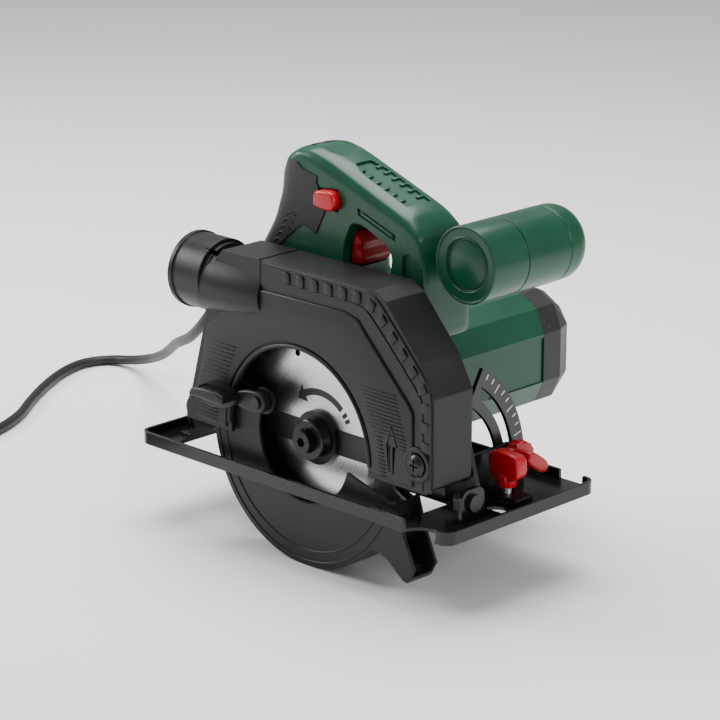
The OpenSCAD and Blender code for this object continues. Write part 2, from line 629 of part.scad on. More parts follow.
module saw_blade() color([0.75, 0.76, 0.78]) difference() {
    translate([0, 0, axis_z]) along_y(-blade_t/2, blade_t/2) blade_outline();
    rod_y(8, -3, 3, 0, axis_z);
    // relief slots that end in a small hole
    translate([0, 0, axis_z]) along_y(-3, 3) for (i = [0:2]) rotate(111 + i*120) {
        translate([blade_d*0.35, 0]) circle(2);
        translate([blade_d*0.35, -0.5]) square([blade_d*0.085, 1]);
    }
}

module outer_flange() color("silver") difference() {
    union() {
        rod_y(15.6, -4.4, -blade_t/2, 0, axis_z);
        translate([0, -4.3, axis_z]) rotate([90, 0, 0]) cylinder(r1 = 11.5, r2 = 9, h = 4.7);
    }
    rod_y(4, -12, 1, 0, axis_z);
}

module blade_bolt() color([0.2, 0.2, 0.2]) difference() {
    union() {
        rod_y(4, -9, 13.5, 0, axis_z);
        rod_y(6.5, -16, -9, 0, axis_z);
    }
    rod_y(3, -17, -12, 0, axis_z, $fn = 6);
}

// ---------- motor armature ----------

module armature_shaft() color("silver") union() {
    rod_y(4, 24, seam_y + 11, motor_x, motor_z);
    translate([motor_x, 0, motor_z]) along_y(14.8, 24.5) rotate(pinion_phase) gear_outline(pinion_teeth, gear_module);
}
// the pinion's gap faces the gear's tooth on the line of centres
pinion_phase = mesh_angle + 180 + 180/pinion_teeth;

module armature_core() color([0.4, 0.4, 0.42]) difference() {
    translate([motor_x, 0, motor_z]) along_y(motor_y0 + 21, motor_y0 + 65) difference() {
        circle(15.6);
        for (i = [0:11]) rotate(i*30) translate([12, -1]) square([5, 2]);
    }
    rod_y(4, motor_y0, seam_y, motor_x, motor_z);
}

module commutator() color([0.75, 0.45, 0.25]) tube_y(11.6, 4, motor_y0 + 72, motor_y0 + 88, motor_x, motor_z);

module cooling_fan() color([0.15, 0.15, 0.15]) difference() {
    union() {
        rod_y(23, motor_y0 + 4.5, motor_y0 + 6, motor_x, motor_z);
        rod_y(8, motor_y0 + 4.5, motor_y0 + 16, motor_x, motor_z);
        for (i = [0:8]) translate([motor_x, 0, motor_z]) rotate([0, i*40, 0])
            block([7, motor_y0 + 5, -0.8], [22.5, motor_y0 + 15, 0.8]);
    }
    rod_y(4, motor_y0, motor_y0 + 20, motor_x, motor_z);
}

// ---------- lower guard ----------

guard_a0 = 152;
guard_a1 = 344;
toe = [[50, -50], [60, -50.5], [66, -53], [78, -62.3], [81, -62.6], [86, -54], [77, -34], [72, -17], [67, -20]];
toe_web = [[58, -50.6], [60, -50.5], [66, -53], [78, -62.3], [81, -62.6], [83, -59.4], [79, -59.6], [67, -50.4], [60, -48]];
toe_shift = rim_r - 73.6;

module lower_guard() color([0.05, 0.05, 0.055]) difference() {
    translate([0, 0, axis_z]) {
        along_y(lower_near, lower_near + lower_wall) {
            ring_part(36, rim_r, guard_a0, guard_a1);
            translate([toe_shift, -toe_shift]) polygon(toe);
            translate([-32, 17]) circle(8);
        }
        along_y(lower_far - lower_wall, lower_far) {
            ring_part(23.2, rim_r, guard_a0, guard_a1);
            difference() { circle(27); circle(23.2); }
            translate([toe_shift, -toe_shift]) polygon(toe);
        }
        along_y(lower_near, lower_far) {
            ring_part(rim_r - lower_wall, rim_r, guard_a0, guard_a1);
            translate([toe_shift, -toe_shift]) polygon(toe_web);
        }
        // hub sleeve and stop lug
        along_y(4.1, 5.9) difference() { circle(27); circle(hub_r + fit); }
        along_y(4.5, 8.5) rotate(150) translate([40, -3]) square([8, 6]);
        along_y(4, 5) rotate(150) translate([25, -4]) square([24, 8]);
    }
    rod_y(2, lower_near - 1, lower_near + 3, -32, axis_z + 17);
}

module guard_lever() color([0.07, 0.07, 0.075]) difference() {
    translate([0, 0, axis_z]) {
        along_y(-20, lower_near) polygon([[-26, 12], [-25, 20], [-30, 24], [-50, 21], [-50, 12], [-36, 9]]);
        along_y(-24, -18.6) polygon([[-46, 11], [-46, 22], [-70, 22], [-74, 19], [-74, 9], [-66, 7]]);
        along_y(-34, -23) polygon([[-46, 14], [-46, 22], [-68, 22], [-74, 19], [-74, 14], [-68, 16]]);
    }
    rod_y(2, -21, -13, -32, axis_z + 17);
}

module lever_screw() color("silver") {
    rod_y(2, -20, lower_near + lower_wall + 0.6, -32, axis_z + 17);
    rod_y(3.6, -21.6, -20, -32, axis_z + 17);
}

// ---------- controls ----------

module trigger() color([0.78, 0.08, 0.1]) along_y(grip_mid - 8, grip_mid + 8)
    polygon([[-6, guard_top - 5.5], [-6, guard_top + 16.5], [8, guard_top + 16.5], [13, guard_top + 13],
        [16, guard_top + 6], [15, guard_top - 1], [11, guard_top - 5], [4, guard_top - 5.5]]);

function button_points(g) = [[-18 - g, guard_top + 27 - g], [-17 - g, guard_top + 37 + g], [-3 + g, guard_top + 38 + g],
    [g, guard_top + 31], [-3 + g, guard_top + 26 - g]];
module lock_button() color([0.78, 0.08, 0.1]) along_y(grip_y0 - 5.5, grip_y0 + 8) polygon(button_points(0));

module spindle_lock() color([0.15, 0.15, 0.15]) {
    rod_x(lock_r, 25.5, lock_x + 1, lock_y, lock_z);
    rod_x(5.5, lock_x, lock_x + 7, lock_y, lock_z);
}

module depth_bolt() color("silver") {
    rod_y(3, guard_near - 0.5, 31, clamp_x, clamp_z);
    rod_y(4.6, guard_near - 1.4, guard_near, clamp_x, clamp_z);
    rod_y(5.2, guard_far, arc_y0 - gap, clamp_x, clamp_z);
}

module depth_lever() color([0.12, 0.12, 0.12]) difference() {
    union() {
        rod_y(7, arc_y0 + arc_t + gap, 30, clamp_x, clamp_z);
        along_y(25, 30) translate([clamp_x, clamp_z]) rotate(80) {
            translate([0, -4.5]) square([36, 9]);
            translate([36, 0]) circle(5.5);
        }
    }
    rod_y(3 + fit, 20, 32, clamp_x, clamp_z);
}

module bevel_bolt() color("silver") {
    rod_x(3, quad_x0 - 3, quad_x0 + 20, knob_y, knob_z);
    rod_x(5.4, quad_x0 - 4, quad_x0 - gap, knob_y, knob_z);
}

module bevel_knob() color([0.78, 0.08, 0.1]) difference() {
    union() {
        rod_x(9.5, quad_x0 + quadrant_t + 3.3, quad_x0 + 13, knob_y, knob_z);
        translate([0, knob_y, knob_z]) along_x(quad_x0 + 12, quad_x0 + 25) rotate(-35)
            round_rect(-10, -3.8, 10, 3.8, 3);
    }
    rod_x(3 + fit, quad_x0, quad_x0 + 21, knob_y, knob_z);
}

// ---------- power cord ----------

floor_z = axis_z - rim_r;
lie_z = floor_z + cord_d/2 + 0.1;
relief_from = [-70, grip_mid, guard_top - 12];
relief_dir = [-0.8, 0, -0.6];
relief_l = 34;
relief_r = 6.2;
exit_point = relief_from + relief_l*relief_dir;
coil_at = [-252, -128];
coil_r0 = 24;
coil_r1 = 47;
coil_h = 2*cord_d;
turn_r = coil_r1 - cord_d/2;     // outermost turn of the coil
plug_at = [coil_at[0] + 72, coil_at[1] - turn_r, floor_z + 13.1];

// route of the open stretch, from the strain relief to the coil
route = [exit_point, exit_point + [-12, 0.5, -9.5], [-125, 36, 73], [-142, 39, 56], [-163, 48, 42], [-190, 65, 30],
    [-220, 86, 17], [-252, 110, 2], [-285, 132, -14], [-318, 150, -28], [-348, 160, -38], [-370, 158, lie_z],
    [-378, 140, lie_z], [-372, 116, lie_z], [-357, 88, lie_z], [-338, 60, lie_z], [-318, 33, lie_z],
    [-305, 4, lie_z], [-298, -28, lie_z], [-295.7, -60, lie_z], [-295.7, -90, lie_z], [-295.7, -118, lie_z]];
// from the coil to the plug
tail = [[-258, -171.3, lie_z + 6.6], [-244, -171.7, lie_z + 6], [-230, -171.7, lie_z + 3], [-218, -171.7, lie_z + 0.4],
    [-206, -171.7, lie_z + 0.6], [-193, -171.7, lie_z + 5], plug_at];

function bend(a, b, c, d, t) = 0.5*((2*b) + (c - a)*t + (2*a - 5*b + 4*c - d)*t*t + (3*b - a - 3*c + d)*t*t*t);
function smooth(p, n) = let (m = len(p) - 1) [for (i = [0:m - 1], k = [0:n - 1])
    bend(p[max(i - 1, 0)], p[i], p[i + 1], p[min(i + 2, m)], k/n), p[m]];
function heading(p, i) = let (v = p[min(i + 1, len(p) - 1)] - p[max(i - 1, 0)]) v/norm(v);
function ring(p, i, r, n) = let (t = heading(p, i), s = cross(t, [0, 0, 1])/norm(cross(t, [0, 0, 1])), u = cross(s, t))
    [for (k = [0:n - 1]) p[i] + r*cos(k*360/n)*s + r*sin(k*360/n)*u];
module cord_tube(p, r, n) {
    m = len(p);
    polyhedron([for (i = [0:m - 1]) each ring(p, i, r, n)],
        concat([[for (k = [0:n - 1]) k]], [for (i = [0:m - 2], k = [0:n - 1])
            [i*n + k, (i + 1)*n + k, (i + 1)*n + (k + 1)%n, i*n + (k + 1)%n]],
            [[for (k = [n - 1:-1:0]) (m - 1)*n + k]]));
}

module cord_clamp() color([0.1, 0.1, 0.1])
    block([-62, grip_y0 + grip_wall, guard_top - 9], [-54, grip_y1 - grip_wall, guard_top - 3.5]);

module relief_hole() translate(relief_from) rotate([0, -126.87, 0]) translate([0, 0, -9]) cylinder(r = relief_r, h = 18);

module strain_relief() color([0.08, 0.08, 0.08]) translate(relief_from) rotate([0, -126.87, 0]) {
    translate([0, 0, -6]) cylinder(r = relief_r, h = 9);
    translate([0, 0, 3]) cylinder(r1 = relief_r, r2 = cord_d/2 + 0.8, h = relief_l - 3);
}

module power_cord() color([0.07, 0.07, 0.07]) {
    cord_tube(smooth(route, 3), cord_d/2, 8);
    cord_tube(smooth(tail, 2), cord_d/2, 8);
}

module cord_coil() color([0.07, 0.07, 0.07]) translate([coil_at[0], coil_at[1], floor_z + 0.1]) rotate_extrude()
    translate([coil_r0, 0]) round_rect(0, 0, coil_r1 - coil_r0, coil_h, 3);

module power_plug() color([0.07, 0.07, 0.07]) translate(plug_at) {
    rod_x(6, -1, 14, 0, 0);
    rod_x(13, 12, 36, 0, 0);
    for (s = [-1, 1]) rod_x(2.4, 36, 55, s*9.5, 0);
}

sole_plate();
hinge_lugs();
bevel_quadrant();
quadrant_rivets();
fence_clamp();
tilt_pins();
tilt_frame();
depth_arc();
depth_pin();
upper_guard();
dust_port();
gear_housing();
gear_cover();
motor_housing();
end_cap();
handle_left();
handle_right();
grip_cover();
front_handle();
front_handle_cap();
stator();
brush_holders();
carbon_brushes();
spindle_bearings();
motor_bearings();
switch_block();
guard_spring();
guard_ring();
guard_bumper();
housing_screws();
guard_screws();
spindle();
drive_gear();
inner_flange();
saw_blade();
outer_flange();
blade_bolt();
armature_shaft();
armature_core();
commutator();
cooling_fan();
lower_guard();
guard_lever();
lever_screw();
trigger();
lock_button();
spindle_lock();
depth_bolt();
depth_lever();
bevel_bolt();
bevel_knob();
fence_screw();
fence_knob();
cord_clamp();
strain_relief();
power_cord();
cord_coil();
power_plug();
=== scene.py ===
import bmesh
import bpy
import numpy as np
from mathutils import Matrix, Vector


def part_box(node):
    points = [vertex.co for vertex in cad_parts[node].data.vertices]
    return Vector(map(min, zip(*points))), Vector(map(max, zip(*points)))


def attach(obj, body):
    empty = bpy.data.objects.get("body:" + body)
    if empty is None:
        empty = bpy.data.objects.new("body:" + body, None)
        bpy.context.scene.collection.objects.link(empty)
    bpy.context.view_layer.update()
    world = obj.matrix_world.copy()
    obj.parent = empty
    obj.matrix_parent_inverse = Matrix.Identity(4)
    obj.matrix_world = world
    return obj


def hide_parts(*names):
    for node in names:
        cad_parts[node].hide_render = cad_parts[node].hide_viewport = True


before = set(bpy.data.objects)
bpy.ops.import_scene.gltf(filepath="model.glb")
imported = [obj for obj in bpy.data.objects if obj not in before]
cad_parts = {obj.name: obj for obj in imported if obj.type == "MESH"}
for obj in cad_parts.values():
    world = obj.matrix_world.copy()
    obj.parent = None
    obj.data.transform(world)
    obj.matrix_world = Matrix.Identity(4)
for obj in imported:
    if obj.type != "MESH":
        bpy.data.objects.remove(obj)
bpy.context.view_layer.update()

# ---------- camera ----------
# A long lens a little above the saw, on the blade's side and in front of it. The numbers of the
# pieces below are millimetres, and MM turns them into metres.
MM = 0.001
camera = bpy.data.objects.new("camera", bpy.data.cameras.new("camera"))
bpy.context.scene.collection.objects.link(camera)
bpy.context.scene.camera = camera
view_azimuth, view_height = np.radians(44.6), np.radians(17.2)
camera.location = (1.0417, -1.0250, 0.5253)
sight = Vector((np.sin(view_azimuth) * np.cos(view_height),
                -np.cos(view_azimuth) * np.cos(view_height),
                np.sin(view_height)))
camera.rotation_euler = sight.to_track_quat("Z", "Y").to_euler()
camera.data.lens = 136.6
camera.data.sensor_width = 36.0
camera.data.clip_end = 20.0


# ---------- floor and light ----------
# A pale sweep that the lower guard stands on, one broad soft light over it and one at each side.
# The world adds an even white fill.
def span(node):
    """A node's lowest and highest corners, in millimetres."""
    low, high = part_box(node)
    return np.array(low) / MM, np.array(high) / MM


floor_z = span("lower_guard")[0][2] - 0.05
sweep = bpy.data.materials.new("sweep")
sweep.use_nodes = True
sweep_shader = sweep.node_tree.nodes["Principled BSDF"]
sweep_shader.inputs["Base Color"].default_value = (0.9, 0.9, 0.9, 1)
sweep_shader.inputs["Roughness"].default_value = 0.9
floor_mesh = bpy.data.meshes.new("floor")
floor_corners = ((-6, -6), (6, -6), (6, 6), (-6, 6))
floor_mesh.from_pydata([(x, y, floor_z * MM) for x, y in floor_corners], [], [(0, 1, 2, 3)])
floor_mesh.materials.append(sweep)
floor = bpy.data.objects.new("floor", floor_mesh)
bpy.context.scene.collection.objects.link(floor)
world = bpy.data.worlds.new("studio")
bpy.context.scene.world = world
world.use_nodes = True
fill = world.node_tree.nodes["Background"]
fill.inputs["Color"].default_value = (1.0, 1.0, 1.0, 1)
fill.inputs["Strength"].default_value = 0.42


def soft_light(name, place, aim, size, power):
    """A square area light that faces the point aim."""
    lamp = bpy.data.lights.new(name, "AREA")
    lamp.shape, lamp.size, lamp.energy = "SQUARE", size, power
    holder = bpy.data.objects.new(name, lamp)
    bpy.context.scene.collection.objects.link(holder)
    holder.location = place
    holder.rotation_euler = (Vector(place) - Vector(aim)).to_track_quat("Z", "Y").to_euler()


soft_light("top_light", (-0.25, 0.25, 1.35), (0.0, 0.0, 0.05), 1.1, 34)
soft_light("left_light", (-1.35, -0.55, 0.75), (-0.05, 0.0, 0.08), 0.7, 20)
soft_light("right_light", (1.45, 0.35, 0.7), (0.0, 0.0, 0.08), 0.5, 10)

# ---------- mains cord ----------
# A round black rubber-covered flex, 6.6 mm thick and 1.87 m long. A tapered sleeve holds it where it
# leaves the foot of the grip; it runs away behind the saw to a neat coil and a moulded plug.
def cleaned(mesh, merge=0.0):
    """The mesh with points nearer than merge, in metres, put together, and its faces turned outwards."""
    work = bmesh.new()
    work.from_mesh(mesh)
    if merge:
        bmesh.ops.remove_doubles(work, verts=work.verts, dist=merge)
    bmesh.ops.recalc_face_normals(work, faces=work.faces)
    work.to_mesh(mesh)
    work.free()
    return mesh


def plain_mesh(name, points, faces, merge=0.0):
    """A mesh from points in millimetres and lists of point numbers."""
    mesh = bpy.data.meshes.new(name)
    mesh.from_pydata((np.asarray(points, float) * MM).tolist(), [], [list(map(int, f)) for f in faces])
    return cleaned(mesh, merge)


def dress(name, mesh, body, finish, smooth_under=35.0):
    """The object for a finished mesh, with its finish, riding on its body."""
    mesh.shade_smooth()
    mesh.set_sharp_from_angle(angle=np.radians(smooth_under))
    mesh.materials.clear()
    mesh.materials.append(finish)
    piece = bpy.data.objects.new(name, mesh)
    bpy.context.scene.collection.objects.link(piece)
    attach(piece, body)
    return piece


def put_mesh(name, points, faces, body, finish, smooth_under=35.0):
    """A piece from points and faces, shaded smooth where it bends by less than an angle in degrees."""
    return dress(name, plain_mesh(name, points, faces, 1e-6), body, finish, smooth_under)


def grid_faces(rows, columns, close=True):
    """Quads between the rows of a grid of points; with close the last column joins the first."""
    i, j = np.meshgrid(np.arange(rows - 1), np.arange(columns if close else columns - 1), indexing="ij")
    a = i * columns + j
    b = i * columns + (j + 1) % columns
    return np.stack([a, b, b + columns, a + columns], -1).reshape(-1, 4)


def side_vectors(axis):
    """Two unit vectors square to the axis and to each other."""
    axis = np.asarray(axis, float) / np.linalg.norm(axis)
    other = np.array([0.0, 0.0, 1.0]) if abs(axis[2]) < 0.9 else np.array([1.0, 0.0, 0.0])
    across = np.cross(other, axis)
    across /= np.linalg.norm(across)
    return axis, across, np.cross(axis, across)


def turned(profile, start, axis, steps=64, scallop=0.0, lobes=0):
    """Points and faces of a profile of (radius, distance) pairs turned round an axis:
    start + distance * axis + radius * (cos t, sin t), the radius waved by scallop * cos(lobes * t)."""
    axis, across, up = side_vectors(axis)
    profile = np.asarray(profile, float)
    t = np.arange(steps) * 2 * np.pi / steps
    radius = profile[:, :1] * (1 + scallop * np.cos(lobes * t))
    points = (np.asarray(start, float) + profile[:, 1, None, None] * axis
              + radius[..., None] * (np.cos(t)[:, None] * across + np.sin(t)[:, None] * up))
    return points.reshape(-1, 3), grid_faces(len(profile), steps)


def rounded_profile(r, length, edge, steps=5):
    """A closed cylinder's profile whose two rims are quarter circles of radius edge."""
    t = np.linspace(0, np.pi / 2, steps)
    near = np.stack([r - edge + edge * np.sin(t), edge - edge * np.cos(t)], -1)
    far = np.stack([r - edge + edge * np.cos(t), length - edge + edge * np.sin(t)], -1)
    return np.vstack([[[0.0, 0.0]], near, far, [[0.0, length]]])


def joined(parts):
    """Points and faces of several (points, faces) pairs put into one pair."""
    points, faces, count = [], [], 0
    for p, f in parts:
        points.append(np.asarray(p, float))
        faces += [[int(k) + count for k in one] for one in f]
        count += len(p)
    return np.vstack(points), faces


def grain_group():
    """Shared node group: a fine bump and two slow masks, for pores, rubbed patches and dust."""
    group = bpy.data.node_groups.new("grain", "ShaderNodeTree")
    for name, kind in (("Vector", "NodeSocketVector"), ("Scale", "NodeSocketFloat")):
        group.interface.new_socket(name=name, in_out="INPUT", socket_type=kind)
    for name in ("Height", "Patches", "Dust"):
        group.interface.new_socket(name=name, in_out="OUTPUT", socket_type="NodeSocketFloat")
    nodes, link = group.nodes, group.links.new
    enter, leave = nodes.new("NodeGroupInput"), nodes.new("NodeGroupOutput")
    fine, slow, specks = (nodes.new("ShaderNodeTexNoise") for _ in range(3))
    fine.inputs["Detail"].default_value = 3.0
    slow.inputs["Scale"].default_value = 28.0
    slow.inputs["Detail"].default_value = 5.0
    specks.inputs["Scale"].default_value = 260.0
    specks.inputs["Detail"].default_value = 4.0
    specks.inputs["Roughness"].default_value = 0.7
    for noise in (fine, slow, specks):
        link(enter.outputs["Vector"], noise.inputs["Vector"])
    link(enter.outputs["Scale"], fine.inputs["Scale"])
    spread = nodes.new("ShaderNodeMapRange")
    spread.inputs["From Min"].default_value, spread.inputs["From Max"].default_value = 0.35, 0.65
    link(slow.outputs["Fac"], spread.inputs["Value"])
    dust = nodes.new("ShaderNodeMapRange")
    dust.inputs["From Min"].default_value, dust.inputs["From Max"].default_value = 0.6, 0.75
    link(specks.outputs["Fac"], dust.inputs["Value"])
    link(fine.outputs["Fac"], leave.inputs["Height"])
    link(spread.outputs["Result"], leave.inputs["Patches"])
    link(dust.outputs["Result"], leave.inputs["Dust"])
    return group


grain = grain_group()


def finish_of(name, colour, rough, metal=0.0, coat=0.0, grain_scale=1400.0, depth=0.01, patch=0.12, dust=0.06,
              edge=0.5, shine=0.35):
    """A finish: colour and roughness that wander with the grain group's masks, a bump of the
    given depth and edge rounding in millimetres, all read from Object coordinates."""
    material = bpy.data.materials.new(name)
    material.use_nodes = True
    nodes, link = material.node_tree.nodes, material.node_tree.links.new
    shader = nodes["Principled BSDF"]
    shader.inputs["Metallic"].default_value = metal
    shader.inputs["Specular IOR Level"].default_value = 0.5 if metal else shine
    shader.inputs["Coat Weight"].default_value = coat
    shader.inputs["Coat Roughness"].default_value = 0.12
    place = nodes.new("ShaderNodeTexCoord")
    fine = nodes.new("ShaderNodeGroup")
    fine.node_tree = grain
    fine.inputs["Scale"].default_value = grain_scale
    link(place.outputs["Object"], fine.inputs["Vector"])
    tint = nodes.new("ShaderNodeMix")
    tint.data_type = "RGBA"
    shade = np.array(colour, float)
    tint.inputs["A"].default_value = (*np.clip(shade * (1 - patch), 0, 1), 1)
    tint.inputs["B"].default_value = (*np.clip(shade * (1 + patch), 0, 1), 1)
    link(fine.outputs["Patches"], tint.inputs["Factor"])
    dusty = nodes.new("ShaderNodeMix")
    dusty.data_type = "RGBA"
    dusty.inputs["B"].default_value = (0.45, 0.43, 0.4, 1)
    amount = nodes.new("ShaderNodeMath")
    amount.operation = "MULTIPLY"
    amount.inputs[1].default_value = dust
    link(fine.outputs["Dust"], amount.inputs[0])
    link(amount.outputs["Value"], dusty.inputs["Factor"])
    link(tint.outputs["Result"], dusty.inputs["A"])
    link(dusty.outputs["Result"], shader.inputs["Base Color"])
    worn = nodes.new("ShaderNodeMapRange")
    worn.inputs["To Min"].default_value = rough * (1 - patch)
    worn.inputs["To Max"].default_value = min(1.0, rough * (1 + patch))
    link(fine.outputs["Patches"], worn.inputs["Value"])
    link(worn.outputs["Result"], shader.inputs["Roughness"])
    bump = nodes.new("ShaderNodeBump")
    bump.inputs["Distance"].default_value = depth * MM
    link(fine.outputs["Height"], bump.inputs["Height"])
    if edge:
        round_edge = nodes.new("ShaderNodeBevel")
        round_edge.samples = 4
        round_edge.inputs["Radius"].default_value = edge * MM
        link(round_edge.outputs["Normal"], bump.inputs["Normal"])
    link(bump.outputs["Normal"], shader.inputs["Normal"])
    return material


rubber = finish_of("cord_rubber", (0.012, 0.012, 0.0125), 0.5, grain_scale=2600, depth=0.02, dust=0.12,
                   edge=0)
cord_d = 6.6
lie_z = span("cord_coil")[0][2] + cord_d / 2 + 0.1
coil_at = (span("cord_coil")[0] + span("cord_coil")[1]) / 2
turn_r = 47 - cord_d / 2
grip_mid = 35.0
sleeve_from = np.array([-70.0, grip_mid, 117.0])
sleeve_way = np.array([-0.8, 0.0, -0.6])
sleeve_l = 34.0
exit_at = sleeve_from + sleeve_l * sleeve_way
route = [exit_at, exit_at + [-12, 0.5, -9.5], (-125, 36, 73), (-142, 39, 56), (-163, 48, 42),
         (-190, 65, 30), (-220, 86, 17), (-252, 110, 2), (-285, 132, -14), (-318, 150, -28),
         (-348, 160, -38), (-370, 158, lie_z), (-378, 140, lie_z), (-372, 116, lie_z),
         (-357, 88, lie_z), (-338, 60, lie_z), (-318, 33, lie_z), (-305, 4, lie_z),
         (-298, -28, lie_z), (-295.7, -60, lie_z), (-295.7, -90, lie_z), (-295.7, -118, lie_z)]
plug_at = np.array([coil_at[0] + 72, coil_at[1] - turn_r, floor_z + 13.15])
tail = [(-230, -171.7, lie_z + 3), (-218, -171.7, lie_z + 0.4), (-206, -171.7, lie_z + 0.6),
        (-193, -171.7, lie_z + 5), plug_at + [1, 0, 0]]
coil_turns = 5.25
coil_pitch = 6.85
climb_turns = 0.45


def coil_points(count=150):
    """A flat spiral of 2.4 turns inwards, a short smooth climb by one cord, and a spiral of 2.4 turns
    back out on top of it; the radius falls by the pitch with every turn wound in."""
    turns = np.linspace(0.0, coil_turns, count)
    arm = (coil_turns - climb_turns) / 2
    wound_in = np.clip(turns, 0, arm) - np.clip(turns - arm - climb_turns, 0, arm)
    climb = np.clip((turns - arm) / climb_turns, 0, 1)
    angle = np.pi + 2 * np.pi * turns
    return np.stack([coil_at[0] + (turn_r - coil_pitch * wound_in) * np.cos(angle),
                     coil_at[1] + (turn_r - coil_pitch * wound_in) * np.sin(angle),
                     lie_z + (cord_d + 0.05) * climb * climb * (3 - 2 * climb)], -1)


def through(points, steps=6):
    """A Catmull-Rom curve through the points: cubic pieces whose slopes join each point's neighbours."""
    p = np.asarray(points, float)
    p = np.vstack([2 * p[0] - p[1], p, 2 * p[-1] - p[-2]])
    a, b, c, d = p[:-3], p[1:-2], p[2:-1], p[3:]
    t = (np.arange(steps) / steps)[:, None, None]
    bent = 0.5 * (2 * b + (c - a) * t + (2 * a - 5 * b + 4 * c - d) * t ** 2
                  + (3 * b - a - 3 * c + d) * t ** 3)
    return np.vstack([bent.transpose(1, 0, 2).reshape(-1, 3), p[-2:-1]])


cord_line = through(np.vstack([[tuple(p) for p in route], coil_points(), [tuple(p) for p in tail]]), 4)
cord_curve = bpy.data.curves.new("supply_cord", "CURVE")
cord_curve.dimensions = "3D"
cord_curve.bevel_depth = cord_d / 2 * MM
cord_curve.bevel_resolution = 5
cord_curve.use_fill_caps = True
cord_spline = cord_curve.splines.new("POLY")
cord_spline.points.add(len(cord_line) - 1)
cord_spline.points.foreach_set("co", np.hstack([cord_line * MM, np.ones((len(cord_line), 1))]).ravel())
cord_curve.materials.append(rubber)
supply_cord = bpy.data.objects.new("supply_cord", cord_curve)
bpy.context.scene.collection.objects.link(supply_cord)
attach(supply_cord, "saw_head")
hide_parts("power_cord", "cord_coil")

sleeve_r = 6.2
sleeve_pitch = 4.2
groove_deep = 1.1
sleeve_rings = [(5.0, -5.0), (sleeve_r, -5.0), (sleeve_r, 1.0)]
for k in range(7):
    wide = sleeve_r - 0.33 * k
    narrow = wide - groove_deep
    at = k * sleeve_pitch
    sleeve_rings += [(wide, 1.6 + at), (wide, 3.6 + at), (narrow, 3.9 + at), (narrow, 5.4 + at)]
sleeve_rings += [(4.0, 31.5), (4.0, 33.4), (3.4, sleeve_l)]
sleeve = put_mesh("cord_sleeve", *turned(sleeve_rings, sleeve_from, sleeve_way, 32), "saw_head", rubber)
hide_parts("strain_relief")

plug_shape = [(3.3, -1), (4.8, -1), (5.6, 1.0), (5.2, 2.2), (6.0, 4.0), (5.6, 5.4), (6.4, 7.2), (6.1, 8.6),
              (7.2, 11.0), (11.4, 14.0), (12.6, 17.0), (12.9, 24.0), (12.6, 31.0), (11.8, 31.6),
              (12.6, 32.4), (12.9, 35.4), (12.2, 36.0), (0.0, 36.0)]
plug_body = put_mesh("plug_body", *turned(plug_shape, plug_at, (1, 0, 0), 48), "saw_head", rubber)
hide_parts("power_plug")
pin_metal = finish_of("plug_pin_metal", (0.72, 0.7, 0.66), 0.28, metal=1.0, grain_scale=900, depth=0.004,
                      edge=0)
pin_profile = rounded_profile(2.4, 19.6, 0.9)
pin_pair = joined([turned(pin_profile, plug_at + [35.4, side * 9.5, 0], (1, 0, 0), 20) for side in (-1, 1)])
plug_pins = put_mesh("plug_pins", *pin_pair, "saw_head", pin_metal)

# ---------- sole ----------
# A pressed steel plate under glossy black enamel, with a folded lip and rolled beads along both edges
# and beside the blade slot. The lugs and the strap are welded on; the quadrant is riveted.
def wear(material, *nodes):
    """Gives CAD nodes a finish, in every slot that their mesh has."""
    for name in nodes:
        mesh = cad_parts[name].data
        mesh.materials.clear()
        mesh.materials.append(material)


enamel = finish_of("black_enamel", (0.005, 0.005, 0.0055), 0.22, coat=0.12, grain_scale=500, depth=0.012,
                   dust=0.05, edge=0.7, shine=0.3)
pressed = finish_of("black_pressed_steel", (0.01, 0.01, 0.0105), 0.34, metal=0.2, coat=0.2, grain_scale=900,
                    edge=0.5)
zinc = finish_of("zinc_plate", (0.6, 0.61, 0.62), 0.3, metal=1.0, grain_scale=700, depth=0.006, edge=0.3)
wear(enamel, "sole_plate", "hinge_lugs", "fence_clamp")
wear(pressed, "bevel_quadrant", "tilt_frame", "depth_arc")
wear(zinc, "quadrant_rivets", "bevel_bolt", "fence_screw", "guard_screws", "housing_screws", "guard_ring")
sole_low, sole_high = span("sole_plate")
sole_top = 2.0

# the three planes an outline can lie in: which world axes its two numbers and its depth are
PLANES = {"xz": (0, 2, 1), "yz": (1, 2, 0), "xy": (0, 1, 2)}


def tube_along(line, r, sides=6, normal=(0.0, 0.0, 1.0)):
    """Points and faces of a thin tube: at each point of the line a circle square to the line, set out
    from the line's direction crossed with the normal."""
    line = np.asarray(line, float)
    along = np.gradient(line, axis=0)
    along /= np.linalg.norm(along, axis=1)[:, None]
    across = np.cross(along, normal)
    across /= np.linalg.norm(across, axis=1)[:, None]
    up = np.cross(across, along)
    t = np.arange(sides) * 2 * np.pi / sides
    points = line[:, None] + r * (np.cos(t)[:, None] * across[:, None] + np.sin(t)[:, None] * up[:, None])
    faces = grid_faces(len(line), sides).tolist()
    last = (len(line) - 1) * sides
    return points.reshape(-1, 3), faces + [list(range(sides))[::-1], list(range(last, last + sides))]


def ridge(name, line, width, level, plane, body, finish):
    """A round bead half sunk in a face: a tube along a broken line whose corners are cut twice."""
    line = np.asarray(line, float)
    for _ in range(2):
        first, last = line[:1], line[-1:]
        a, b = line[:-1], line[1:]
        line = np.vstack([first, np.stack([a + 0.2 * (b - a), b - 0.2 * (b - a)], 1).reshape(-1, 2), last])
    first, second, depth = PLANES[plane]
    full = np.zeros((len(line), 3))
    full[:, first], full[:, second], full[:, depth] = line[:, 0], line[:, 1], level
    normal = np.zeros(3)
    normal[depth] = 1.0
    piece = put_mesh(name, *tube_along(full, width / 2, 10, normal), body, finish, 60)


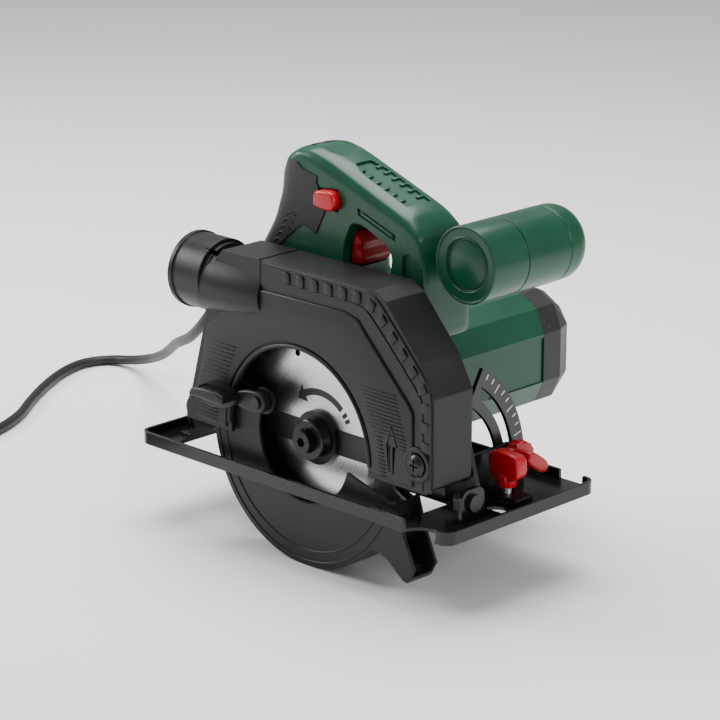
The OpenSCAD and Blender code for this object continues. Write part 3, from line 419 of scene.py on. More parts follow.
bead_lines = [(sole_low[1] + 4.2, sole_low[0] + 8, 84), (sole_high[1] - 6, -112, 84),
              (sole_high[1] - 14, -100, 60), (44, -112, 66)]
for k, (y, x0, x1) in enumerate(bead_lines):
    bead = np.linspace([x0, y], [x1, y], 3)
    ridge(f"sole_bead_{k}", bead, 2.6, sole_top, "xy", "base", enamel)
rivet_head = [(0, 0), (3.4, 0), (3.4, 0.7), (2.6, 1.7), (1.2, 2.2), (0, 2.3)]
rivet_places = ((-116, -17), (-116, 30), (114, -6), (114, 18), (-116, 88))
rivets = joined([turned(rivet_head, (x, y, sole_top - 0.05), (0, 0, 1), 24) for x, y in rivet_places])
put_mesh("sole_rivets", *rivets, "base", enamel)

# ---------- quadrant scale ----------
# The bevel quadrant's degree marks, printed in white on the pressed steel: a long mark every 15
# degrees and a short one every 5, each square to the arc that the bolt travels.
print_white = finish_of("white_print", (0.78, 0.78, 0.76), 0.5, grain_scale=900, depth=0.0, dust=0.0, edge=0)
tilt_axis = np.array([6.0, 15.0])
mark_half = 0.35
mark_thick = 0.1
quad_face = span("bevel_quadrant")[1][0]
marks = []
for degrees in range(5, 56, 5):
    a = np.radians(degrees)
    inner, outer = (64.8, 70.4) if degrees % 15 == 0 else (67.2, 70.4)
    along = np.array([np.cos(a), np.sin(a)])
    side = np.array([-np.sin(a), np.cos(a)]) * mark_half
    corners = np.array([along * inner - side, along * outer - side,
                        along * outer + side, along * inner + side])
    at = np.column_stack([np.full(4, quad_face + 0.05), corners + tilt_axis])
    marks.append((np.vstack([at, at - [mark_thick, 0, 0]]),
                  [[0, 1, 2, 3], [7, 6, 5, 4], [0, 4, 5, 1], [1, 5, 6, 2], [2, 6, 7, 3], [3, 7, 4, 0]]))
put_mesh("quadrant_scale", *joined(marks), "base", print_white, 20)

# ---------- bevel knob and fence screw ----------
# Two glossy red moulded grips: a round hub with a flat wing on the bevel bolt, and a tapered wing
# block on the zinc screw that clamps the rip fence under its strap.
def softened(points, times=2, share=0.25):
    """Corner cutting: each pass puts two points on every side, a share of its length in from its ends."""
    points = np.asarray(points, float)
    for _ in range(times):
        after = np.roll(points, -1, 0)
        pairs = np.stack([points + share * (after - points), after - share * (after - points)], 1)
        points = pairs.reshape(-1, 2)
    return points


def box_outline(x0, z0, x1, z1):
    """The four corners of an upright rectangle."""
    return np.array([[x0, z0], [x1, z0], [x1, z1], [x0, z1]], float)


def slab_mesh(name, outlines, plane, low, high, edge=0.0, steps=3):
    """A plate filled between its outlines, from low to high across its plane, with rounded rims."""
    curve = bpy.data.curves.new(name, "CURVE")
    curve.dimensions, curve.fill_mode = "2D", "BOTH"
    curve.bevel_depth, curve.bevel_resolution, curve.offset = edge * MM, steps, -edge * MM
    curve.extrude = ((high - low) / 2 - edge) * MM
    for outline in outlines:
        line = curve.splines.new("POLY")
        line.points.add(len(outline) - 1)
        flat = np.hstack([np.asarray(outline) * MM, np.zeros((len(outline), 1)), np.ones((len(outline), 1))])
        line.points.foreach_set("co", flat.ravel())
        line.use_cyclic_u = True
    holder = bpy.data.objects.new(name, curve)
    bpy.context.scene.collection.objects.link(holder)
    bpy.context.view_layer.update()
    mesh = bpy.data.meshes.new_from_object(holder.evaluated_get(bpy.context.evaluated_depsgraph_get()))
    bpy.data.objects.remove(holder)
    bpy.data.curves.remove(curve)
    flat = np.empty(len(mesh.vertices) * 3)
    mesh.vertices.foreach_get("co", flat)
    flat = flat.reshape(-1, 3)
    first, second, depth = PLANES[plane]
    placed = np.empty_like(flat)
    placed[:, first], placed[:, second] = flat[:, 0], flat[:, 1]
    placed[:, depth] = (low + high) / 2 * MM + flat[:, 2]
    mesh.vertices.foreach_set("co", placed.ravel())
    return cleaned(mesh, 2e-6)


def slab(name, outlines, plane, low, high, body, finish, edge=0.0, steps=3, smooth_under=40.0):
    """A slab_mesh as a piece."""
    return dress(name, slab_mesh(name, outlines, plane, low, high, edge, steps), body, finish, smooth_under)


red = finish_of("red_moulding", (0.42, 0.004, 0.011), 0.27, coat=0.12, grain_scale=1100, depth=0.006,
                dust=0.04, edge=0.4)
knob_low, knob_high = span("bevel_knob")
knob_at = (knob_low + knob_high) / 2
hub_x = knob_low[0]
wing_x = hub_x + 6
hub = turned(rounded_profile(9.4, 8.0, 1.2), (hub_x, knob_at[1], knob_at[2]), (1, 0, 0), 60, 0.03, 15)
knob_hub = put_mesh("bevel_knob_hub", *hub, "bevel_knob_body", red)
lean = np.radians(-35)
wing = softened(box_outline(-9.6, -4.0, 9.6, 4.0), 3, 0.2)
turn_by_lean = np.array([[np.cos(lean), np.sin(lean)], [-np.sin(lean), np.cos(lean)]])
wing = wing @ turn_by_lean + knob_at[1:]
knob_wing = slab("bevel_knob_wing", [wing], "yz", wing_x, knob_high[0], "bevel_knob_body", red, 1.4, 4)
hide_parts("bevel_knob")

screw_at = (span("fence_screw")[0] + span("fence_screw")[1]) / 2
fence_outline = np.array([(-10.5, 21.5), (-10.5, 31), (-7, 34), (11, 33.4), (12, 22), (5, 17), (-5, 17)])
fence_wing = softened(fence_outline + [screw_at[0], 0], 2, 0.18)
wing_half = 4.2
fence_grip = slab("fence_grip", [fence_wing], "xz", screw_at[1] - wing_half, screw_at[1] + wing_half,
                  "fence_screw_body", red, 1.5, 4)
collar_profile = [(2.6, 14), (5.2, 14), (5.6, 14.6), (5.6, 20), (4.0, 22), (0, 22)]
collar = turned(collar_profile, (screw_at[0], screw_at[1], 0), (0, 0, 1), 40, 0.04, 12)
fence_collar = put_mesh("fence_collar", *collar, "fence_screw_body", red)
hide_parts("fence_knob")
thread_z = np.linspace(7.4, 14.0, 200)
thread_pitch = 0.9
thread_r = 2.55
turn = thread_z * 2 * np.pi / thread_pitch
thread = np.stack([screw_at[0] + thread_r * np.cos(turn),
                   screw_at[1] + thread_r * np.sin(turn),
                   thread_z], -1)
put_mesh("fence_screw_thread", *tube_along(thread, 0.3), "fence_screw_body", zinc)

# ---------- upper guard ----------
# The blade's fixed cover, moulded in black glass-filled plastic. Its near face has a raised panel
# round the window, a channel of short ribs under the roof line and fine hatching; screws hold it.
def cuboid(low, high):
    """Points and faces of a box between two corners."""
    low, high = np.asarray(low, float), np.asarray(high, float)
    pick = np.array([[i, j, k] for i in (0, 1) for j in (0, 1) for k in (0, 1)])
    faces = [[0, 1, 3, 2], [4, 6, 7, 5], [0, 4, 5, 1], [2, 3, 7, 6], [0, 2, 6, 4], [1, 5, 7, 3]]
    return np.where(pick == 1, high, low), faces


shell = finish_of("black_moulding", (0.0095, 0.0098, 0.0105), 0.38, grain_scale=1500, depth=0.016, dust=0.02,
                  edge=1.2, shine=0.3)
wear(shell, "upper_guard", "dust_port")
face_y = -18.0
blade_mid = (span("saw_blade")[0] + span("saw_blade")[1]) / 2
axle = np.array([blade_mid[0], blade_mid[2]])
roof = 129.0


def round_axle(r, t):
    """Points at a radius and an angle round the blade's axle: axle + r * (cos t, sin t)."""
    return np.stack([axle[0] + r * np.cos(t), axle[1] + r * np.sin(t)], -1)


panel_foot = 24.5
panel = [(-84, panel_foot), (-87.5, 30), (-83, 43), (-77.5, 62), (-73.5, 82), (-53, 100), (-35, 112),
         (36, 112.6), (47, 110), (86, 70.5), (89, 66), (89, panel_foot), (59, panel_foot)]
arch_r = 58.5
arch_from = np.arcsin((panel_foot - axle[1]) / arch_r)
panel_edge = np.vstack([panel, round_axle(arch_r, np.linspace(arch_from, np.pi - arch_from, 60))])
guard_panel = slab("guard_panel", [panel_edge], "xz", face_y - 1.3, face_y + 0.6, "saw_head", shell, 0.7, 4)

rim_line = [(-26, 127.6), (50, 127.6), (58, 126.0), (64, 122.0), (96, 88.6), (100.4, 82), (101.8, 76),
            (102, 24)]
ridge("guard_rim_bead", rim_line, 1.7, face_y - 0.1, "xz", "saw_head", shell)
channel_edge = [(-17, 118.5), (48, 118.5), (56, 115), (92, 78.5), (95.5, 73), (95.8, 24)]
ridge("guard_channel_bead", channel_edge, 1.3, face_y, "xz", "saw_head", shell)


def along_line(line, step):
    """Points at even steps along a broken line, with the direction of the line at each."""
    line = np.asarray(line, float)
    ends = np.concatenate([[0], np.cumsum(np.linalg.norm(np.diff(line, axis=0), axis=1))])
    at = np.arange(step / 2, ends[-1], step)
    points = np.stack([np.interp(at, ends, line[:, k]) for k in (0, 1)], -1)
    which = np.clip(np.searchsorted(ends, at) - 1, 0, len(line) - 2)
    ways = np.diff(line, axis=0)[which]
    return points, ways / np.linalg.norm(ways, axis=1)[:, None]


channel_mid = [(-14, 122.6), (50, 122.6), (60, 118.6), (95, 82.5), (98.6, 74), (98.8, 40)]
tooth_step = 11.0
tooth_half = 2.9
teeth = []
for point, way in zip(*along_line(channel_mid, tooth_step)):
    side = np.array([-way[1], way[0]])
    corners = np.array([point - tooth_half * way - 3.6 * side, point + tooth_half * way - 3.6 * side,
                        point + tooth_half * way + 3.0 * side, point - tooth_half * way + 3.0 * side])
    teeth.append(softened(corners, 1, 0.12))
guard_teeth = slab("guard_teeth", teeth, "xz", face_y - 0.9, face_y + 0.4, "saw_head", shell, 0.35, 2)


bar_half = 0.28


def hatching(x_left, x_right, z_low, z_high, lines):
    """Level bars between two slanted sides, each side given by its x at the foot and at the top."""
    z = np.linspace(z_low, z_high, lines)
    share = (z - z_low) / (z_high - z_low)
    left = x_left[0] + (x_left[1] - x_left[0]) * share
    right = x_right[0] + (x_right[1] - x_right[0]) * share
    return [box_outline(a, b - bar_half, c, b + bar_half) for a, b, c in zip(left, z, right)]


hatch = (hatching((-77, -69), (-57, -49), 54, 74, 9) + hatching((-82.5, -81), (-66, -63.5), 27, 40, 7)
         + hatching((60, 49.5), (84, 77), 50, 73.5, 12) + hatching((65, 62), (70, 66.5), 26, 47.5, 11)
         + hatching((79, 79), (84.5, 84.5), 44, 48, 3))
guard_hatch = slab("guard_hatching", hatch, "xz", face_y - 1.75, face_y - 1.1, "saw_head", shell, 0.12, 1)
arrow = np.array([(71.6, 28.5), (75.2, 28.5), (75.2, 44.5), (78.3, 44.5), (73.3, 57), (68.4, 44.5),
                  (71.6, 44.5)])
inside = (arrow - arrow.mean(0)) * [0.55, 0.9] + arrow.mean(0)
arrow_rim = [arrow, inside]
guard_arrow = slab("guard_arrow", arrow_rim, "xz", face_y - 1.7, face_y - 1.1, "saw_head", shell, 0.15, 1)

lip_line = round_axle(56.2, np.linspace(0.0, np.pi, 60))
window_lip = tube_along(np.insert(lip_line, 1, face_y - 0.4, axis=1), 1.3, 10, (0, 1, 0))
put_mesh("window_lip", *window_lip, "saw_head", shell)

# ---------- depth pivot ----------
# The pin that the saw swings on to set its depth of cut. The guard has a moulded boss round it, and
# a black steel screw with a cross slot closes it.
def carved(piece, cutters):
    """The piece with other meshes cut out of it."""
    for mesh in cutters:
        tool = bpy.data.objects.new("cutter", mesh)
        bpy.context.scene.collection.objects.link(tool)
        cut = piece.modifiers.new("cut", "BOOLEAN")
        cut.operation, cut.solver, cut.object = "DIFFERENCE", "EXACT", tool
        bpy.context.view_layer.update()
        result = bpy.data.meshes.new_from_object(piece.evaluated_get(bpy.context.evaluated_depsgraph_get()))
        piece.modifiers.remove(cut)
        bpy.data.objects.remove(tool)
        piece.data = result
    piece.data.shade_smooth()
    piece.data.set_sharp_from_angle(angle=np.radians(35))
    return piece


pivot = (span("depth_pin")[0] + span("depth_pin")[1]) / 2
boss = turned([(6.6, 2.5), (6.6, -0.6), (7.4, -1.4), (9.4, -1.4), (10.2, -0.5), (10.4, 2.6)],
              (pivot[0], face_y, pivot[2]), (0, 1, 0), 48)
put_mesh("pivot_boss", *boss, "saw_head", shell)
dark_steel = finish_of("black_oxide_steel", (0.035, 0.034, 0.034), 0.3, metal=0.8, grain_scale=900,
                       depth=0.006, edge=0.35)
wear(dark_steel, "tilt_pins", "depth_bolt", "depth_pin", "lever_screw")
head_profile = [(0, -3.4), (1.8, -3.4), (4.6, -2.6), (5.9, -1.2), (6.0, 0.6), (0, 0.6)]
head = turned(head_profile, (pivot[0], face_y, pivot[2]), (0, 1, 0), 40)
pivot_screw = put_mesh("pivot_screw", *head, "saw_head", dark_steel)
cross = [slab_mesh("cross", [box_outline(pivot[0] - a, pivot[2] - b, pivot[0] + a, pivot[2] + b)], "xz",
                   face_y - 5, face_y - 1.9) for a, b in ((3.1, 0.65), (0.65, 3.1))]
carved(pivot_screw, cross)

# ---------- guard joint ----------
# The raised line where the guard's moulding meets the dust port's, down the near face and over the
# roof. It is part of the same black moulding.
joint_left, joint_right = -30.2, -29.4
roof_joint = [cuboid((joint_left, -18.3, 112), (joint_right, 12.3, roof + 0.35)),
              cuboid((joint_left, -18.3, roof - 0.1), (joint_right, 12.3, roof + 0.35))]
put_mesh("guard_joint", *joined(roof_joint), "saw_head", shell)

# ---------- dust port ----------
# A round spigot for a vacuum hose, moulded in the guard's black plastic at its rear. A swept shoulder
# joins it to the near face, and its mouth has a rounded lip.
port_low, port_high = span("dust_port")
port_mid = np.array([-4.0, 108.5])
port_r = 21.8
spigot_end = -85.0
wall_y = -16.3
x_steps = port_high[0] + np.array([-4, 6, 18, 34, 44])
shrink = np.array([1.0, 0.99, 0.96, 0.9, 0.8])
across = 25
angle = np.linspace(np.pi * 0.5, np.pi * 1.5, across)
rows = []
for x, share in zip(x_steps, shrink):
    inner_y = 0.0 if x < spigot_end else wall_y
    y = np.minimum(port_mid[0] + port_r * share * np.cos(angle) * 0.98, inner_y)
    z = port_mid[1] - 2 + (port_r - 1) * share * np.sin(angle) * 0.98
    rows.append(np.column_stack([np.full(across, x), y, z]))
last = (len(rows) - 1) * across
shoulder_faces = grid_faces(len(rows), across, close=False).tolist()
shoulder_faces += [list(range(across))[::-1], list(range(last, last + across))]
shoulder_faces += [[k, k + across, k + 2 * across - 1, k + across - 1] for k in range(0, last, across)]
shoulder = put_mesh("port_shoulder", np.vstack(rows), shoulder_faces, "saw_head", shell, 50)
lip_profile = [(port_r - 3.4, 1.6), (port_r - 2.4, 0.3), (port_r - 1.2, 0.0), (port_r + 0.05, 0.9),
               (port_r + 0.2, 2.2), (port_r - 0.4, 3.0), (port_r - 1.4, 3.0)]
lip = turned(lip_profile, (port_low[0], port_mid[0], port_mid[1]), (1, 0, 0), 72)
put_mesh("port_lip", *lip, "saw_head", shell)

# ---------- blade ----------
# Ground steel plate with carbide teeth, spun on its spindle between two flanges; one dark band and
# a curved arrow are printed on the near face. A black socket-head bolt holds it.
def brushed_steel(name, centre, colour):
    """Steel ground in rings round the blade's axle: its roughness and bump are a noise of the distance
    from the centre alone."""
    material = finish_of(name, colour, 0.27, metal=1.0, grain_scale=600, depth=0.004, patch=0.1, dust=0.02,
                         edge=0.2)
    nodes, link = material.node_tree.nodes, material.node_tree.links.new
    place = nodes.new("ShaderNodeTexCoord")
    offset = nodes.new("ShaderNodeVectorMath")
    offset.operation = "SUBTRACT"
    offset.inputs[1].default_value = tuple(centre * MM)
    link(place.outputs["Object"], offset.inputs[0])
    distance = nodes.new("ShaderNodeVectorMath")
    distance.operation = "LENGTH"
    link(offset.outputs["Vector"], distance.inputs[0])
    lines = nodes.new("ShaderNodeTexNoise")
    lines.noise_dimensions = "1D"
    lines.inputs["Scale"].default_value = 3200.0
    lines.inputs["Detail"].default_value = 4.0
    link(distance.outputs["Value"], lines.inputs["W"])
    spread = nodes.new("ShaderNodeMapRange")
    spread.inputs["To Min"].default_value, spread.inputs["To Max"].default_value = 0.16, 0.42
    link(lines.outputs["Fac"], spread.inputs["Value"])
    link(spread.outputs["Result"], nodes["Principled BSDF"].inputs["Roughness"])
    scratches = next(n for n in nodes if n.bl_idname == "ShaderNodeBump")
    link(lines.outputs["Fac"], scratches.inputs["Height"])
    return material


blade_steel = brushed_steel("blade_steel", blade_mid, (0.62, 0.63, 0.65))
wear(blade_steel, "saw_blade")
wear(dark_steel, "outer_flange", "inner_flange", "blade_bolt")
black_print = finish_of("black_print", (0.015, 0.015, 0.016), 0.42, grain_scale=900, depth=0.0, dust=0.0,
                        edge=0)
blade_face = span("saw_blade")[0][1]
band_half = 7.5
band_r = 52.0
band_tip = np.arcsin(band_half / band_r)
band_t = np.linspace(-band_tip, band_tip, 9)
band = np.vstack([round_axle(band_r, band_t), round_axle(-band_r, band_t)])
band_hole = round_axle(15.2, np.arange(48) * 2 * np.pi / 48)
arrow_in, arrow_out = 24, 28
arc_t = np.linspace(np.radians(48), np.radians(118), 24)
arc = np.vstack([round_axle(arrow_out, arc_t), round_axle(arrow_in, arc_t[::-1])])
tip = round_axle(np.array([31.5, 26, 20.5]), np.radians([117, 132, 117]))
square_half = 2.6
squares = [round_axle(np.array([arrow_in, arrow_in, arrow_out, arrow_out]),
                      np.radians(degrees + np.array([-1, 1, 1, -1]) * square_half)) for degrees in (32, 40)]
for name, outlines in (("blade_band", [band, band_hole]), ("blade_arrow", [arc]),
                       ("blade_arrow_tip", [tip]), ("blade_squares", squares)):
    printed = slab(name, outlines, "xz", blade_face - 0.06, blade_face + 0.02, "blade_spindle", black_print)
washer_profile = [(8.4, 0), (10.4, 0), (11.6, -0.4), (11.9, -1.3), (11.2, -1.9), (7.2, -1.9), (6.9, 0)]
washer_y = -9.0
washer = turned(washer_profile, (axle[0], washer_y, axle[1]), (0, 1, 0), 48)
put_mesh("blade_washer", *washer, "blade_spindle", dark_steel)

# ---------- lower guard and lever ----------
# The swinging guard is one black moulding, U-shaped in section; its thumb lever is screwed to the
# near wall and bent outwards past the upper guard. Two low beads run round under its rim.
wear(shell, "lower_guard")
rim_r = 73.6
rim_t = np.radians(np.linspace(154, 338, 90))
for k, r in enumerate((rim_r - 3.2, rim_r - 9.5)):
    bead = round_axle(r, rim_t)
    ridge(f"lower_guard_bead_{k}", bead, 1.2, -14.0, "xz", "swing_guard", shell)
toe_ribs = [cuboid((76 - 2.2 * k, -13.0, -29.2 + 1.55 * k), (77 - 2.2 * k, 4.0, -28.2 + 1.55 * k))
            for k in range(4)]
put_mesh("toe_ribs", *joined(toe_ribs), "swing_guard", shell)
lever_arm = [(-26, 40), (-25, 48), (-30, 52), (-50, 49), (-50, 40), (-36, 37)]
lever_neck = [(-46, 39), (-46, 50), (-70, 50), (-74, 47), (-74, 37), (-66, 35)]
lever_tab = [(-46, 42), (-46, 50), (-68, 50), (-74, 47), (-74, 42), (-68, 44)]
lever_pieces = [slab("lever_arm", [softened(lever_arm, 2)], "xz", -20, -14, "swing_guard", shell, 1.2, 4),
                slab("lever_neck", [softened(lever_neck, 2)], "xz", -24, -18.6, "swing_guard", shell, 1.6, 4),
                slab("lever_tab", [softened(lever_tab, 1)], "xz", -34, -21, "swing_guard", shell, 1.8, 4)]
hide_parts("guard_lever")
lever_ribs = [cuboid((-67.5 + 3.2 * k, -32.2, 48.8), (-66.3 + 3.2 * k, -25.4, 50.25)) for k in range(6)]
put_mesh("lever_ribs", *joined(lever_ribs), "swing_guard", shell)

# ---------- grip ----------
# Two green moulded halves screwed together round the switch, oval in section, with a hole for the
# fingers. The top is dished, with a comb of small teeth on its slope.
green = finish_of("green_moulding", (0.0016, 0.058, 0.026), 0.33, coat=0.06, grain_scale=1500, depth=0.014,
                  dust=0.04, edge=0.7)
grip_low = 16.5
grip_high = 53.5
mid_line = [(-74, 119), (-68, 127.5), (-59.5, 141), (-54, 158.5), (-53, 171), (-48.5, 180), (-38, 186),
            (-26, 188), (-12, 185), (18, 173.5), (48, 162), (58, 153), (64, 136), (64, 112), (64, 91),
            (52, 93), (16, 93), (-18, 93), (-40, 102), (-66, 114)]
side_line = [(-60, 120.5), (-52.5, 131), (-44.5, 144.5), (-37.5, 158), (-34.8, 168), (-34.6, 177),
             (-32.6, 181.5), (-24, 178.3), (-13, 174.4), (17, 164.6), (46, 154.6), (56, 149.8), (62, 136),
             (62.3, 112), (62.3, 91), (51, 93), (16, 93), (-18, 93), (-37, 104), (-56, 115)]


def rounded_between(middle, side, low, high, grow=0.0, layers=9):
    """Points and faces of a solid whose outline runs from side at both faces to middle half way between
    them, along a quarter of a rounded square: out = cos(t) ^ 0.65, across = sin(t) ^ 0.65. Grow pushes
    it outwards."""
    middle, side = softened(middle, 2, 0.16), softened(side, 2, 0.16)
    outward = np.roll(middle, 1, 0) - np.roll(middle, -1, 0)
    outward = np.stack([outward[:, 1], -outward[:, 0]], -1)
    outward /= np.linalg.norm(outward, axis=1)[:, None]
    turning = (middle[:, 0] * np.roll(middle[:, 1], -1) - np.roll(middle[:, 0], -1) * middle[:, 1]).sum()
    outward *= np.sign(turning)
    t = np.linspace(-np.pi / 2, np.pi / 2, 2 * layers - 1)
    squareness = 0.65
    out = np.abs(np.cos(t)) ** squareness
    out[[0, -1]] = 0.0
    across = np.sign(np.sin(t)) * np.abs(np.sin(t)) ** squareness
    flat = side[None] + out[:, None, None] * (middle - side)[None] + outward[None] * grow
    points = np.zeros((len(t), len(middle), 3))
    points[..., 0], points[..., 2] = flat[..., 0], flat[..., 1]
    points[..., 1] = ((low + high) / 2 + ((high - low) / 2 + grow) * across)[:, None]
    count = len(middle)
    last = (len(t) - 1) * count
    faces = grid_faces(len(t), count).tolist()
    return points.reshape(-1, 3), faces + [list(range(count))[::-1], list(range(last, last + count))]


finger_mid = [(5, 113.5), (4, 135), (9, 148.5), (16, 149.5), (37.5, 138.5), (34.5, 119), (31, 113.5)]
finger_side = [(0.5, 112), (-1, 136), (6, 151.5), (16, 152.5), (41.5, 141.2), (38.6, 118), (34, 112)]
finger_points, finger_faces = rounded_between(finger_mid, finger_side, grip_low - 0.4, grip_high + 0.4)
rear_room = [(-68, 121), (-63, 128.5), (-55, 142), (-49.5, 158.5), (-48.5, 170), (-44, 178), (-30, 180),
             (-13, 174), (10, 165), (4, 156), (-1, 151), (-5, 136), (-4, 108), (-38, 108)]
low_room = [(-34, 97), (-16, 96), (50, 96), (59, 98), (59, 134), (54, 146), (47, 150), (46, 141),
            (43, 117), (37, 105.5), (-37, 108.2)]
button_line = np.array([(-18, 156), (-17, 166), (-3, 167), (0, 160), (-3, 155)], float)
button_gap = (button_line - button_line.mean(0)) * 1.07 + button_line.mean(0)
grip_body = rounded_between(mid_line, side_line, grip_low, grip_high)
handle = put_mesh("grip_shell", *grip_body, "saw_head", green, 40)
wall = 6.5
room_low = grip_low + wall
room_high = grip_high - wall
cuts = [plain_mesh("finger_gap", finger_points, finger_faces),
        slab_mesh("rear_room", [rear_room], "xz", room_low, room_high),
        slab_mesh("low_room", [low_room], "xz", room_low, room_high),
        slab_mesh("button_gap", [button_gap], "xz", grip_low - 1, room_low + 1),
        plain_mesh("trigger_way", *cuboid((-12.5, 21.2, 122.6), (8, 48.8, 146.2)))]
groove = [[(12.5, 160.0), (13.3, 155.9), (16.3, 157.4), (15.3, 158.9)],
          [(12.4, 160.1), (42.2, 149.3), (42.0, 148.3), (12.6, 159.1)],
          [(13.0, 157.0), (42.0, 146.7), (41.7, 145.8), (12.9, 156.0)],
          [(38.9, 149.9), (42.3, 149.2), (41.8, 146.0), (40.4, 146.4)]]
cuts += [slab_mesh("groove", [line], "xz", grip_low - 0.3, grip_low + 1.1) for line in groove]
low_recess = softened([(47, 125), (57.5, 117), (53, 141), (47, 139)], 1, 0.12)
cuts.append(slab_mesh("low_recess", [low_recess], "xz", grip_low - 0.1, grip_low + 1.2))


def crest_dish(stations, half_widths, sink, rise=6.0):
    """Points and faces of a cutter over the crest: at each station the strip from a side's half width
    to the other's, sunk under the crest line by sink and raised well over it."""
    stations = np.asarray(stations, float)
    way = np.gradient(stations, axis=0)
    way /= np.linalg.norm(way, axis=1)[:, None]
    up = np.stack([-way[:, 1], way[:, 0]], -1)
    rows = []
    for side, lift in ((-1, -sink), (-1, rise), (1, rise), (1, -sink)):
        row = np.zeros((len(stations), 3))
        row[:, [0, 2]] = stations + up * lift
        row[:, 1] = grip_mid + side * np.asarray(half_widths)
        rows.append(row)
    points = np.stack(rows, 1).reshape(-1, 3)
    last = (len(stations) - 1) * 4
    return points, grid_faces(len(stations), 4).tolist() + [[3, 2, 1, 0], list(range(last, last + 4))]


crest = softened(mid_line, 2, 0.16)
crest = crest[(crest[:, 1] > 160) & (crest[:, 0] > -54) & (crest[:, 0] < 50)]
crest = crest[np.argsort(crest[:, 0])]
crest_x = np.linspace(-38, -8, 26)
oval = 9.8 * (1 - np.linspace(-1, 1, 26) ** 4) ** 0.5 + 0.3
rear_dish = crest_dish(np.stack([crest_x, np.interp(crest_x, crest[:, 0], crest[:, 1])], -1), oval, 0.9)
comb_x = np.linspace(-1, 42, 24)
comb_half = np.minimum(9.6, 6.2 + 14 * np.linspace(0, 1, 24))
comb_dish = crest_dish(np.stack([comb_x, np.interp(comb_x, crest[:, 0], crest[:, 1])], -1), comb_half, 1.5)
cuts += [plain_mesh("rear_dish", *rear_dish), plain_mesh("comb_dish", *comb_dish)]
carved(handle, cuts)
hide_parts("handle_left", "handle_right")
slope_way = np.array([60.0, -23.0])
slope_way /= np.linalg.norm(slope_way)
slope_up = np.array([-slope_way[1], slope_way[0]])
comb_step = 6.6
comb_sink, comb_top = slope_up * 2.4, slope_up * 0.35
comb_teeth = []
for k in range(6):
    foot = np.array([4.0, 178.87]) + slope_way * comb_step * k
    comb_teeth.append(np.array([foot - comb_sink, foot + slope_way * 2.6 - comb_sink,
                                foot + slope_way * 2.2 - comb_top, foot + slope_way * 0.4 - comb_top]))
for k, (low, high) in enumerate(((25.6, 30.4), (39.6, 44.4))):
    comb = slab(f"comb_teeth_{k}", comb_teeth, "xz", low, high, "saw_head", green, 0.3, 2)

# ---------- grip pad ----------
# Soft black rubber moulded on the grip's rear, where the palm sits. It follows the grip's own
# surface 0.7 mm further out, inside its own outline, and has six short ribs at the web of the thumb.
soft_black = finish_of("soft_grip", (0.0115, 0.0115, 0.012), 0.5, grain_scale=2400, depth=0.03, dust=0.08,
                       edge=0.6)
pad_line = [(-34.6, 178.6), (-92, 174), (-92, 108), (-62, 117.4), (-49.4, 127.9), (-37, 138.3),
            (-29.9, 143.2), (-19.9, 139.2), (-12.8, 152.8), (-11.8, 158.7), (-19.2, 168.8),
            (-18.6, 172.3), (-30.6, 175.4)]
pad_body = rounded_between(mid_line, side_line, grip_low, grip_high, 0.7)
pad = put_mesh("grip_pad", *pad_body, "saw_head", soft_black, 40)
outside = slab_mesh("outside", [box_outline(-150, 40, 150, 260), pad_line], "xz", -20, 90)
core = plain_mesh("core", *rounded_between(mid_line, side_line, grip_low, grip_high, -1.0))
carved(pad, [outside, core, slab_mesh("button_gap", [button_gap], "xz", grip_low - 4, grip_low + 8)])
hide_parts("grip_cover")
ribs = []
rib_pitch = 4.2
for k in range(6):
    z = 124.0 + rib_pitch * k
    x = np.interp(z, [119, 131, 144.5], [-61, -52.5, -44.5])
    line = [(x - 0.5, grip_low - 0.3, z),
            (x + 4, grip_low - 0.8, z + 3.4),
            (x + 8.5, grip_low - 0.8, z + 2.2)]
    ribs.append(tube_along(through(line, 4), 0.5, 8, (0, 1, 0)))
put_mesh("grip_ribs", *joined(ribs), "saw_head", soft_black, 60)

# ---------- lock button and trigger ----------
# Two red moulded switch parts: the thumb's lock-off button on the near side, and the trigger with
# its finger curves, which fills the rear of the finger hole.
red_glow = finish_of("red_button", (0.5, 0.006, 0.013), 0.3, coat=0.12, grain_scale=1200, depth=0.006,
                     dust=0.0, edge=0.4)
button_edge = softened(button_line, 3, 0.18)
button = slab("lock_button_cap", [button_edge], "xz", 11.0, 24.5, "lock_button_body", red_glow, 1.8, 5)
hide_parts("lock_button")
trigger_line = [(-6.2, 124), (-6.2, 145.2), (2, 145.0), (7.6, 142), (9.6, 137.5), (8.2, 133.8),
                (10.4, 129.6), (9.4, 125.8), (6, 124), (0, 123.5)]
trigger_edge = softened(trigger_line, 2, 0.2)
trigger_piece = slab("trigger_lever", [trigger_edge], "xz", 22, 48, "trigger_body", red_glow, 3.4, 6)
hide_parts("trigger")

# ---------- front handle ----------
# A stubby green moulded barrel across the front of the saw, for the second hand. Its near end has a
# rim round a sunken disc, its far end is round, and two seams go round it.
front_at = np.array([90.0, 20.0, 141.0])
front_r = span("front_handle")[1][2] - front_at[2]
barrel_rings = [(0, 2.2), (front_r - 7.4, 2.2), (front_r - 7.1, 0.6), (front_r - 6.8, 0.1),
                (front_r - 6.3, 0.1), (front_r - 6.0, 0.9), (front_r - 1.6, 0.9), (front_r - 1.3, 0.1),
                (front_r - 0.6, 0.0), (front_r - 0.1, 0.4), (front_r, 1.2), (front_r, 27.4),
                (front_r - 0.7, 27.8), (front_r - 0.7, 28.4), (front_r, 28.8), (front_r, 62.4),
                (front_r - 0.5, 62.8), (front_r - 0.5, 63.4), (front_r - 0.1, 63.8)]
bow = np.linspace(0, np.pi / 2, 10)
barrel_rings += [(front_r - 9 + 8.9 * np.cos(a), 70 + 10.9 * np.sin(a)) for a in bow]
barrel_rings.append((0, 80.9))
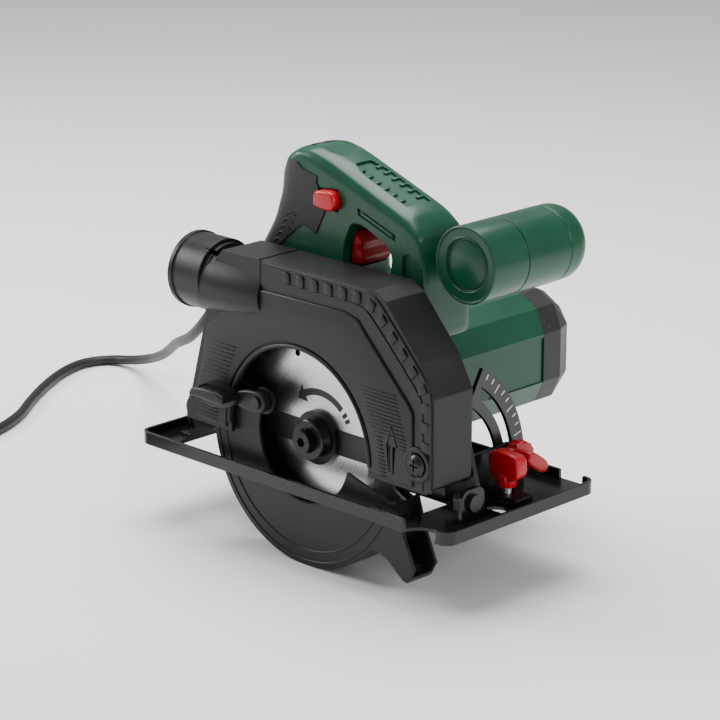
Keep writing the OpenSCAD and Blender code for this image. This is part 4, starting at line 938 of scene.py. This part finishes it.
barrel = put_mesh("front_barrel", *turned(barrel_rings, front_at, (0, 1, 0), 96), "saw_head", green, 30)
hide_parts("front_handle", "front_handle_cap")
disc_profile = [(0, 0), (front_r - 9.0, 0), (front_r - 8.4, 0.3), (front_r - 8.1, 1.2), (0, 1.2)]
disc = turned(disc_profile, front_at + [0, 1.5, 0], (0, 1, 0), 72)
put_mesh("front_disc", *disc, "saw_head", green)

# ---------- motor ----------
# An eight-sided green moulding round the motor, with a seam rib on its flank and black slats in its
# top vent. A dark grey moulded cap with inlet slots is screwed to its far end.
grey = finish_of("grey_moulding", (0.014, 0.0145, 0.015), 0.42, grain_scale=1500, depth=0.016, dust=0.08,
                 edge=1.4)
wear(green, "motor_housing")
wear(grey, "end_cap")
motor_low, motor_high = span("motor_housing")
rib_y = motor_low[1] + 47.5
rib = cuboid((motor_high[0] - 1.2, rib_y, 44.5), (motor_high[0] - 0.1, rib_y + 1.0, 71.5))
put_mesh("motor_rib_0", *rib, "saw_head", green)
slat_pitch = 5.6
vent_slats = [cuboid((20 + slat_pitch * k, motor_low[1] + 58, motor_high[2] - 1.2),
                     (22.6 + slat_pitch * k, motor_low[1] + 88, motor_high[2] - 0.15)) for k in range(3)]
vent_finish = finish_of("vent_black", (0.01, 0.01, 0.01), 0.5, grain_scale=1400, dust=0.0, edge=0.2)
put_mesh("motor_vents", *joined(vent_slats), "saw_head", vent_finish)

# ---------- gearbox and inside ----------
# Cast gearbox, laminated cores, brass brush holders, copper commutator, oiled bearings and gears:
# parts that show only through the vents and the window.
cast = finish_of("cast_alloy", (0.42, 0.42, 0.43), 0.48, metal=1.0, grain_scale=800, depth=0.05, edge=0.5)
core_steel = finish_of("core_steel", (0.3, 0.3, 0.31), 0.42, metal=1.0, grain_scale=1500, depth=0.02,
                       edge=0.2)
brass = finish_of("brass", (0.72, 0.5, 0.2), 0.3, metal=1.0, grain_scale=900, depth=0.006, edge=0.2)
copper = finish_of("copper", (0.75, 0.36, 0.2), 0.3, metal=1.0, grain_scale=900, depth=0.006, edge=0.2)
carbon = finish_of("carbon", (0.02, 0.02, 0.02), 0.6, grain_scale=1800, depth=0.02, edge=0.2)
bearing = finish_of("bearing_steel", (0.66, 0.66, 0.67), 0.2, metal=1.0, grain_scale=900, depth=0.003,
                    edge=0.2)
wear(cast, "gear_housing", "gear_cover")
wear(core_steel, "stator", "armature_core", "drive_gear", "guard_spring")
wear(brass, "brush_holders")
wear(copper, "commutator")
wear(carbon, "carbon_brushes", "guard_bumper")
wear(bearing, "spindle_bearings", "motor_bearings", "spindle", "armature_shaft")
wear(shell, "switch_block", "cord_clamp", "cooling_fan", "spindle_lock")
wear(pressed, "depth_lever")
